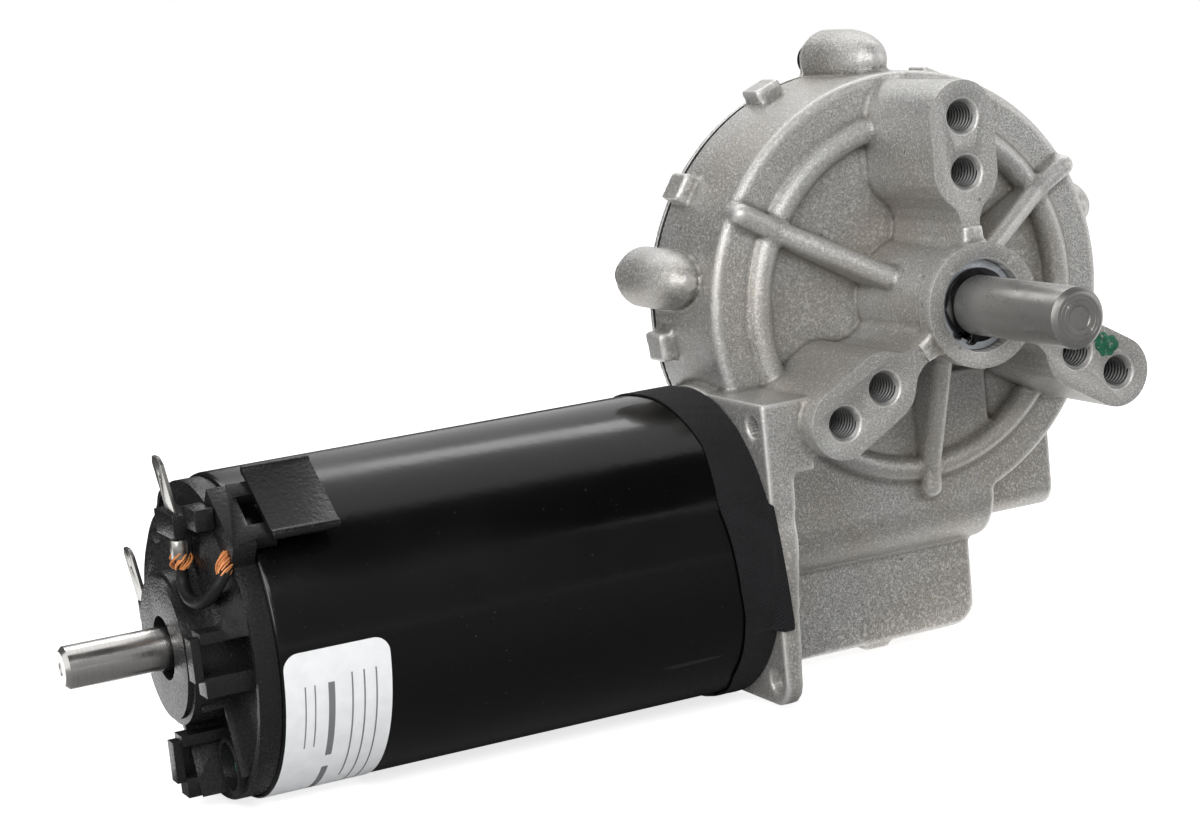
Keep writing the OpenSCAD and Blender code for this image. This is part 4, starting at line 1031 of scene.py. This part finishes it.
@dataclass
class MotorCan:
    """The painted steel can, its cloth tape and its label."""

    finishes: Finishes
    front_x: float = -56.2
    rear_x: float = -177.7
    radius: float = 37.0
    wall: float = 2.5
    rolled: float = 1.2
    edge: float = 0.3
    tape_rear: tuple[Pair, ...] = (
        (-180, -66.5), (-120, -64), (-67, -61.1), (-50, -63.6), (-35, -63.8), (-18, -64.8), (-8, -66.0),
        (11, -67.3), (24, -68.5), (47, -66.6), (63, -67.4), (80, -68.4), (97, -71.0), (140, -69),
        (180, -66.5),
    )
    tape_front: tuple[Pair, ...] = (
        (-180, -55.9), (-60, -56.4), (-25.5, -56.3), (-24.5, -53.6), (-15, -54.0),
        (5, -55.2), (20, -56.3), (22, -56.4), (40, -56.0), (57, -56.5), (72, -56.7), (88, -59.0), (140, -58),
        (180, -55.9),
    )
    flange_half: float = 36.0
    flap: Pair = (-25.4, 20.4)
    fold: float = 1.5
    tape_t: float = 0.38
    tape_w: float = 13.0
    tape_gap: float = 0.06
    tape_rows: int = 22
    seat_gap: float = 0.15
    flange_lift: float = 0.35
    tape_step: float = 1.5
    second_turn: Pair = (22.0, -190.0)
    second_lift: float = 1.55
    second_edge: float = -0.35
    label_x: Pair = (-177.1, -152.6)
    label_angles: Pair = (3.0, -129.0)
    label_corner: float = 3.6
    label_t: float = 0.12
    sheet_step: float = 2.5
    rule_t: float = 0.02
    rules: tuple[tuple[float, float, float, float], ...] = (
        (-156.2, 0.35, -7, -74), (-159.0, 0.35, -7, -74), (-161.8, 0.35, -7, -58), (-166.6, 1.5, -9, -40),
        (-166.6, 1.5, -47, -72), (-170.4, 0.3, -9, -34), (-172.6, 0.3, -9, -34), (-160.4, 0.4, -86, -120),
        (-164.4, 0.4, -86, -120), (-168.4, 0.4, -86, -120),
    )

    @staticmethod
    def along(table: tuple[Pair, ...], angle: float) -> float:
        """Read a table of angle and value.

        Args:
            table: Rows of angle in degrees and value.
            angle: The angle to read at.

        Returns:
            The value between its two rows.
        """
        for (a0, v0), (a1, v1) in zip(table, table[1:]):
            if a0 <= angle <= a1:
                return v0 + (v1 - v0) * (angle - a0) / (a1 - a0)
        return table[-1][1]

    def on_can(self, x: float, angle: float, radius: float) -> Vector:
        """A point at an angle round the motor's axis, 0 towards -Y and 90 upwards.

        Args:
            x: Place along the motor.
            angle: The angle in degrees.
            radius: Distance from the axis.

        Returns:
            The point.
        """
        turned = math.radians(angle)
        return Vector((x, -radius * math.cos(turned), radius * math.sin(turned))) + Vector(MOTOR_AXIS)

    def can(self) -> bpy.types.Object:
        """Returns the can with a rounded rear edge."""
        r, inner = self.radius, self.radius - self.wall
        x0, x1, edge = self.rear_x, self.front_x, self.edge
        start = (x0 + self.rolled, r)
        rear = [start, (x0 + 0.5, r - 0.12), (x0 + 0.12, r - 0.5), (x0, r - 1.0)]
        bore = [(x0, inner + edge), (x0 + edge, inner), (x1 - edge, inner), (x1, inner + edge)]
        steps = [*rear, *bore, (x1, r - edge), (x1 - edge, r), start]
        return lay(turn("painted_can", steps, 224), Way.ALONG_X, MOTOR_AXIS)

    def tape_layer(
        self, name: str, start: float, stop: float, lift: float, narrow: float
    ) -> bpy.types.Object:
        """One layer of tape round the can's front end, pressed over the flange where it reaches it.

        Args:
            name: Name of the new object.
            start: First angle.
            stop: Last angle.
            lift: Height of the layer's middle above the can.
            narrow: How far its edges stand back, or reach out where it is negative.

        Returns:
            The new object.
        """
        clear_selection()
        around = int(abs(stop - start) / self.tape_step)
        cells = {"x_subdivisions": around, "y_subdivisions": self.tape_rows}
        bpy.ops.mesh.primitive_grid_add(size=1, calc_uvs=True, **cells)
        layer = bpy.context.active_object
        layer.name = name
        for vertex in layer.data.vertices:
            u, v = vertex.co.x + 0.5, vertex.co.y + 0.5
            angle = start + (stop - start) * u
            turned = (angle + 180) % 360 - 180
            rear = self.along(self.tape_rear, turned) + narrow
            front = self.along(self.tape_front, turned) - narrow
            flap = self.flap[0] <= turned <= self.flap[1]
            if not flap:
                front = min(front, self.front_x - self.seat_gap)
            x = rear + (front - rear) * v
            wave = 0.08 * math.sin(angle * 0.31) * math.sin(v * 3.1) + 0.05 * math.sin(angle * 0.9 + v * 5)
            radius = self.radius + self.tape_gap + lift + max(0.0, wave)
            if flap and x > self.front_x - self.fold:
                side = (self.flange_half + self.flange_lift) / math.cos(math.radians(turned)) + lift
                share = min(1.0, (x - self.front_x + self.fold) / self.fold)
                radius += (side - radius) * share
            vertex.co = self.on_can(x, angle, radius)
        length = abs(math.radians(stop - start)) * self.radius * MM
        for place in layer.data.uv_layers.active.data:
            place.uv = (place.uv[0] * length, place.uv[1] * self.tape_w * MM)
        face_outwards(layer)
        apply_modifier(layer, "SOLIDIFY", thickness=self.tape_t, offset=0)
        return layer

    def tape(self) -> bpy.types.Object:
        """Returns both layers of tape; the second ends in a step below the motor's shoulder."""
        under = self.tape_layer("under", -180, 180, self.tape_t / 2, 0.0)
        over = self.tape_layer("over", *self.second_turn, self.tape_t * self.second_lift, self.second_edge)
        both = join([under, over])
        both.name = "cloth_tape_wrap"
        return both

    def wrap(
        self, name: str, edges: Pair, angles: Pair, corner: float, lift: float, thick: float
    ) -> bpy.types.Object:
        """A sheet that lies on the can: drawn flat with round corners, sliced, then wrapped.

        Args:
            name: Name of the new object.
            edges: Places of its rear and front edge along the motor.
            angles: Its upper and lower angle in degrees.
            corner: Radius of its corners.
            lift: Height above the can.
            thick: Its thickness.

        Returns:
            The new object.
        """
        (x0, x1), (top, bottom) = edges, angles
        clear_selection()
        height = math.radians(top - bottom) * self.radius
        bpy.ops.mesh.primitive_plane_add(size=1)
        sheet = bpy.context.active_object
        sheet.name = name
        sheet.scale = (x1 - x0, height, 1)
        settle()
        edit(sheet)
        if corner > 0:
            bpy.ops.mesh.bevel(affect="VERTICES", offset=corner, segments=8)
        slices = max(2, int((top - bottom) / self.sheet_step))
        for index in range(1, slices):
            bpy.ops.mesh.select_all(action="SELECT")
            level = height * (index / slices - 0.5)
            bpy.ops.mesh.bisect(plane_co=(0, level, 0), plane_no=(0, 1, 0))
        bpy.ops.object.mode_set(mode="OBJECT")
        middle = math.radians(top + bottom) / 2
        for vertex in sheet.data.vertices:
            angle = math.degrees(middle + vertex.co.y / self.radius)
            vertex.co = self.on_can(vertex.co.x + (x0 + x1) / 2, angle, self.radius + lift)
        face_outwards(sheet)
        apply_modifier(sheet, "SOLIDIFY", thickness=thick, offset=0)
        return sheet

    def label_rules(self) -> bpy.types.Object:
        """Returns the plain ruled lines on the label."""
        lift = 0.05 + self.label_t
        strips = []
        for x, width, top, bottom in self.rules:
            edges = (x - width / 2, x + width / 2)
            strips.append(self.wrap("rule", edges, (top, bottom), 0, lift, self.rule_t))
        rules = join(strips)
        rules.name = "label_ruled_lines"
        return rules

    def build(self) -> None:
        """Build and dress the can, the tape and the label."""
        made = self.finishes
        hand_over(self.can(), made.paint, Body.HOUSING, ("motor_can",), 40)
        hand_over(self.tape(), made.tape, Body.HOUSING, ("seal_band",), 60)
        lift = 0.04 + self.label_t / 2
        edges, angles = self.label_x, self.label_angles
        label = self.wrap("wrapped_label", edges, angles, self.label_corner, lift, self.label_t)
        hand_over(label, made.label, Body.HOUSING, ("rating_label",), 30)
        hand_over(self.label_rules(), made.ink, Body.HOUSING)


@dataclass
class RearEnd:
    """The rear cap with its tie bolts, terminals, switch, lead and the motor's shaft."""

    finishes: Finishes
    edge: float = 0.4
    lead_r: float = 1.45
    lead_points: tuple[Point, ...] = (
        (-189.6, 27.4, -29.2), (-189.6, 27.9, -32), (-189.8, 27.4, -34.8), (-189.9, 25, -37),
        (-189.8, 21.4, -37.8), (-189.2, 17.4, -37.4), (-188.2, 14.4, -36), (-187, 12.8, -34),
        (-185.4, 12.6, -31.8), (-183.4, 14.4, -29.4),
    )
    wire_r: float = 0.22
    ferrule_ends: tuple[Point, Point] = ((-189.7, 27.3, -27.2), (-189.8, 27.3, -31.4))
    ferrule_bundle: tuple[float, int] = (1.9, 26)
    switch_ends: tuple[Point, Point] = ((-185.6, 12.4, -32.0), (-182.8, 14.6, -27.2))
    switch_bundle: tuple[float, int] = (1.4, 20)
    guide_webs: tuple[tuple[Point, Point], ...] = (
        ((-192.4, 17.9, -53.6), (-178.5, 18.9, -45.4)),
        ((-192.4, 42.1, -81.4), (-178.5, 43.1, -73.2)),
    )
    tie_angle: float = -65.8
    rib_cut: tuple[Point, Point] = ((-200.0, -33.5, 6.2), (-184.2, -17.2, 9.8))
    pocket_screw: Point = (-181.86, 30.11, -77.95)
    screw_mark: Pair = (3.3, 0.1)
    shaft_r: float = 4.9
    tip_x: float = -215.4
    chamfer: float = 1.0
    collar: Pair = (-188.0, -171.0)
    collar_step: float = 1.1
    core_r: float = 5.98
    core_x: float = -50.0
    worm_r: float = 4.0
    worm_x: float = 20.0
    nose_r: float = 3.0

    def cap(self) -> bpy.types.Object:
        """Returns the moulded cap, its two guides closed by webs and its near rib cut lower."""
        cap = from_node("rear_cap", "moulded_rear_cap")
        webs = [block("web", low, high, 0.1) for low, high in self.guide_webs]
        cap = join([cap, *webs])
        low, high = self.rib_cut
        cutter = block("cutter", low, high, 0)
        pick(cutter)
        cutter.rotation_euler = (math.radians(-self.tie_angle), 0, 0)
        cutter.location = MOTOR_AXIS
        cut(cap, cutter)
        round_edges(cap, self.edge, 30, 3)
        return cap

    def shaft(self) -> bpy.types.Object:
        """Returns the motor's shaft, ground at its free end."""
        r, tip, nose = self.shaft_r, self.tip_x, self.nose_r
        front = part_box("armature_shaft")[1][0] / MM
        rear, stop = self.collar
        start, full = r - self.chamfer, tip + self.chamfer
        end = [(tip + 0.2, 0), (tip + 0.2, 1.3), (tip, 1.5), (tip, start), (full, r)]
        collar = [(rear, r), (rear + 0.1, r + self.collar_step), (stop, r + self.collar_step)]
        core = [(stop + 0.1, self.core_r), (self.core_x, self.core_r)]
        worm = [(self.core_x + 1, self.worm_r), (self.worm_x, self.worm_r)]
        tail = [(self.worm_x + 0.6, nose), (front - 0.6, nose), (front, nose - 0.6), (front, 0)]
        steps = [*end, *collar, *core, *worm, *tail]
        return lay(turn("ground_motor_shaft", steps, 96), Way.ALONG_X, MOTOR_AXIS)

    def strands(self, name: str, ends: tuple[Point, Point], spread: float, count: int) -> bpy.types.Object:
        """A bundle of bare wires that splays a little between two points.

        Args:
            name: Name of the new object.
            ends: Where the bundle starts and stops.
            spread: Radius of the bundle.
            count: Number of wires.

        Returns:
            The new object.
        """
        wires = []
        first, last = (Vector(end) for end in ends)
        axis = (last - first).normalized()
        side = axis.orthogonal().normalized()
        for index in range(count):
            # The wires take seven distances from the middle in turn, out of order.
            radius = spread * (0.35 + 0.65 * ((index * 5) % 7) / 6)
            points = []
            for step in range(6):
                share = step / 5
                twist = Matrix.Rotation(index * 2.4 + share * 2.2, 3, axis)
                swell = 0.75 + 0.6 * math.sin(share * 3.0)
                points.append(tuple(first.lerp(last, share) + twist @ side * radius * swell))
            wires.append(tube("wire", points, self.wire_r, 8))
        bundle = join(wires)
        bundle.name = name
        return bundle

    def build(self) -> None:
        """Build and dress everything at the rear."""
        made = self.finishes
        hand_over(self.cap(), made.plastic, Body.HOUSING, ("rear_cap",), 50)
        hand_over(self.shaft(), made.ground, Body.ARMATURE, ("armature_shaft",), 30)
        soft_edges = [
            ("switch_cover", "switch_cover_moulding", 0.3, made.satin, "black_plastic"),
            ("switch_bracket", "switch_bracket_moulding", 0.25, made.satin, "black_plastic"),
            ("terminal_block", "terminal_block_moulding", 0.25, made.plastic, "black_plastic"),
            ("blade_terminals", "tinned_blades", 0.14, made.tin, "tin_plate"),
            ("crimp_ferrule", "tinned_ferrule", 0.2, made.tin, "tin_plate"),
            ("tie_bolts", "tie_bolt_pair", 0.3, made.bolt, "dark_metal"),
        ]
        for node, name, width, finish, slot in soft_edges:
            piece = from_node(node, name)
            round_edges(piece, width, 40, 2)
            hand_over(piece, finish, Body.HOUSING, (node,))
        lead = tube("sheathed_lead", list(self.lead_points), self.lead_r, 20)
        hand_over(lead, made.rubber, Body.HOUSING, ("switch_lead",))
        bare = self.strands("ferrule_strands", self.ferrule_ends, *self.ferrule_bundle)
        hand_over(bare, made.copper, Body.HOUSING)
        radius, thick = self.screw_mark
        dab = paint_dab("screw_paint_mark", self.pocket_screw, radius, Way.ALONG_X, thick)
        hand_over(dab, made.green, Body.HOUSING)
        bare = self.strands("switch_strands", self.switch_ends, *self.switch_bundle)
        hand_over(bare, made.copper, Body.HOUSING)


def dress_inner_nodes(made: Finishes) -> None:
    """Give the CAD nodes that keep their shape their finishes.

    Args:
        made: The finishes.
    """
    table = {
        "cover_gasket": made.gasket, "front_bush": made.bronze, "rear_bush": made.bronze,
        "field_magnets": made.magnet, "front_bearing": made.ground, "worm_end_bush": made.bronze,
        "rear_bearing": made.ground, "brush_plate": made.board, "brush_holders": made.brass,
        "carbon_brushes": made.carbon, "brush_springs": made.zinc, "thermal_switch": made.satin,
        "wheel_hub": made.cut_cast, "worm_wheel": made.nylon, "thrust_washer": made.zinc,
        "worm": made.turned, "armature_core": made.core, "armature_windings": made.enamel,
        "commutator": made.copper,
    }
    for name, finish in table.items():
        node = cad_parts[name]
        if not node.material_slots:
            node.data.materials.append(finish)
        for slot in node.material_slots:
            slot.material = finish
        LOG.info("%s keeps its CAD shape, dressed as %s", name, finish.name)


# Studio


@dataclass(frozen=True)
class Card:
    """A flat card that only reflections see: middle and size in metres, Euler angles and tone."""

    spot: Point
    turned: Point
    size: Pair
    tone: float


@dataclass(frozen=True)
class Softbox:
    """An area lamp: where it hangs, what it faces and its size in metres, and its power in watts."""

    name: str
    spot: Point
    aim: Point
    size: Pair
    power: float


UPRIGHT = math.pi / 2


@dataclass
class Studio:
    """Camera, lamps, world and floor."""

    turn: float = 0.432777
    tilt: float = 0.168575
    roll: float = -0.103867
    focal_px: float = 2878.81
    offset: Point = (88.0793, 26.2157, 671.5286)
    width_px: int = 1200
    sensor_mm: float = 36.0
    floor_z: float = -89.4
    floor_size: float = 6.0
    floor_colour: Colour = (0.86, 0.86, 0.86)
    floor_glow: float = 0.74
    ambient: float = 0.34
    cards: tuple[Card, ...] = (
        Card((0.1, -1.1, 0.36), (UPRIGHT, 0, -0.3), (3.2, 0.92), 0.42),
        Card((0.1, -0.67, 0.85), (0, 0, 0), (2.6, 1.04), 0.06),
        Card((0.35, -0.45, -0.088), (0, 0, -0.2), (3.4, 0.8), 0.26),
        Card((-0.22, 0.28, -0.03), (UPRIGHT, 0, 0.2), (0.75, 0.116), 0.05),
        Card((-0.55, 1.0, 0.42), (UPRIGHT, 0, 0.35), (1.5, 1.0), 0.1),
    )
    lamps: tuple[Softbox, ...] = (
        Softbox("top softbox", (0.2, 0.5, 0.72), (-0.06, 0.03, -0.03), (1.5, 0.16), 2.8),
        Softbox("front softbox", (-0.45, -0.95, 0.62), (0.0, 0.0, 0.0), (0.7, 0.5), 5.2),
        Softbox("left softbox", (-0.75, -0.45, 0.35), (-0.06, 0.02, -0.02), (0.35, 0.6), 3.4),
        Softbox("right fill", (0.65, -0.55, 0.2), (0.0, 0.02, -0.03), (0.4, 0.5), 0.9),
    )

    def camera(self) -> None:
        """Set the camera as the photograph was taken."""
        a, e, r = self.turn, self.tilt, self.roll
        into = Vector((math.sin(a) * math.cos(e), math.cos(a) * math.cos(e), -math.sin(e)))
        right = Vector((math.cos(a), -math.sin(a), 0))
        up = right.cross(into)
        across = math.cos(r) * right + math.sin(r) * up
        upward = -math.sin(r) * right + math.cos(r) * up
        rows = Matrix((across, upward, into))
        spot = rows.transposed() @ (-Vector(self.offset))
        data = bpy.data.cameras.new("photo camera")
        data.sensor_width = self.sensor_mm
        data.lens = self.focal_px * self.sensor_mm / self.width_px
        data.clip_start = 0.01
        data.clip_end = 20
        camera = bpy.data.objects.new("photo camera", data)
        matrix = Matrix((across, upward, -into)).transposed().to_4x4()
        matrix.translation = spot * MM
        camera.matrix_world = matrix
        bpy.context.collection.objects.link(camera)
        bpy.context.scene.camera = camera

    @staticmethod
    def lamp(box: Softbox) -> None:
        """Hang a softbox.

        Args:
            box: The softbox.
        """
        data = bpy.data.lights.new(box.name, "AREA")
        data.shape = "RECTANGLE"
        data.size, data.size_y = box.size
        data.energy = box.power
        lamp = bpy.data.objects.new(box.name, data)
        lamp.location = box.spot
        lamp.rotation_euler = (Vector(box.aim) - Vector(box.spot)).to_track_quat("-Z", "Y").to_euler()
        bpy.context.collection.objects.link(lamp)

    @staticmethod
    def seen(tree: bpy.types.NodeTree) -> Socket:
        """One for camera, glossy and transmission rays, otherwise nought.

        Args:
            tree: The node tree that it is added to.

        Returns:
            The value socket.
        """
        path = tree.nodes.new("ShaderNodeLightPath")
        value = path.outputs["Is Camera Ray"]
        for ray in ("Is Glossy Ray", "Is Transmission Ray"):
            higher = tree.nodes.new("ShaderNodeMath")
            higher.operation = "MAXIMUM"
            tree.links.new(value, higher.inputs[0])
            tree.links.new(path.outputs[ray], higher.inputs[1])
            value = higher.outputs[0]
        return value

    def world(self) -> None:
        """White to the camera and in reflections, a plain level elsewhere."""
        world = bpy.data.worlds.new("studio")
        world.use_nodes = True
        tree = world.node_tree
        back = next(node for node in tree.nodes if node.type == "BACKGROUND")
        back.inputs["Color"].default_value = (1, 1, 1, 1)
        scale = tree.nodes.new("ShaderNodeMapRange")
        scale.inputs["To Min"].default_value = self.ambient
        tree.links.new(self.seen(tree), scale.inputs["Value"])
        tree.links.new(scale.outputs[0], back.inputs["Strength"])
        bpy.context.scene.world = world

    def floor(self) -> None:
        """A plain pale floor under the motor, which keeps its shadow."""
        clear_selection()
        bpy.ops.mesh.primitive_plane_add(size=self.floor_size, location=(0, 0, self.floor_z * MM))
        floor = bpy.context.active_object
        floor.name = "studio_floor"
        g = Graph("white floor")
        strength = g.multiply(self.seen(g.tree), self.floor_glow)
        glow = {"Emission_Color": (1, 1, 1), "Emission_Strength": strength}
        white = g.surface(Base_Color=self.floor_colour, Roughness=0.9, Specular_IOR_Level=0.0, **glow)
        floor.data.materials.append(white)

    @staticmethod
    def card(name: str, card: Card) -> None:
        """Set up a card that only reflections see.

        Args:
            name: Name of the card.
            card: Its place, size and tone.
        """
        clear_selection()
        bpy.ops.mesh.primitive_plane_add(size=1, location=card.spot, rotation=card.turned)
        flag = bpy.context.active_object
        flag.name = name
        flag.scale = (*card.size, 1)
        settle()
        grey = (card.tone, card.tone, card.tone)
        matt = Graph("dark card").surface(Base_Color=grey, Roughness=1.0, Specular_IOR_Level=0.0)
        flag.data.materials.append(matt)
        flag.visible_camera = False
        flag.visible_diffuse = False
        flag.visible_shadow = False
        flag.visible_transmission = False

    def build(self) -> None:
        """Set up the whole studio."""
        self.camera()
        self.world()
        self.floor()
        for index, card in enumerate(self.cards):
            self.card(f"studio_flag_{index}", card)
        for box in self.lamps:
            self.lamp(box)
        bpy.context.scene.view_settings.view_transform = "Standard"


def main() -> None:
    """Build the studio and every sub-assembly in order."""
    logging.basicConfig(level=logging.INFO, format="%(name)s: %(message)s")
    Studio().build()
    made = Finishes()
    dress_inner_nodes(made)
    for part in (MotorCan(made), RearEnd(made), OutputShaft(made), GearCover(made), GearHousing(made)):
        LOG.info("building %s", type(part).__name__)
        part.build()


if __name__ == "__main__":
    main()
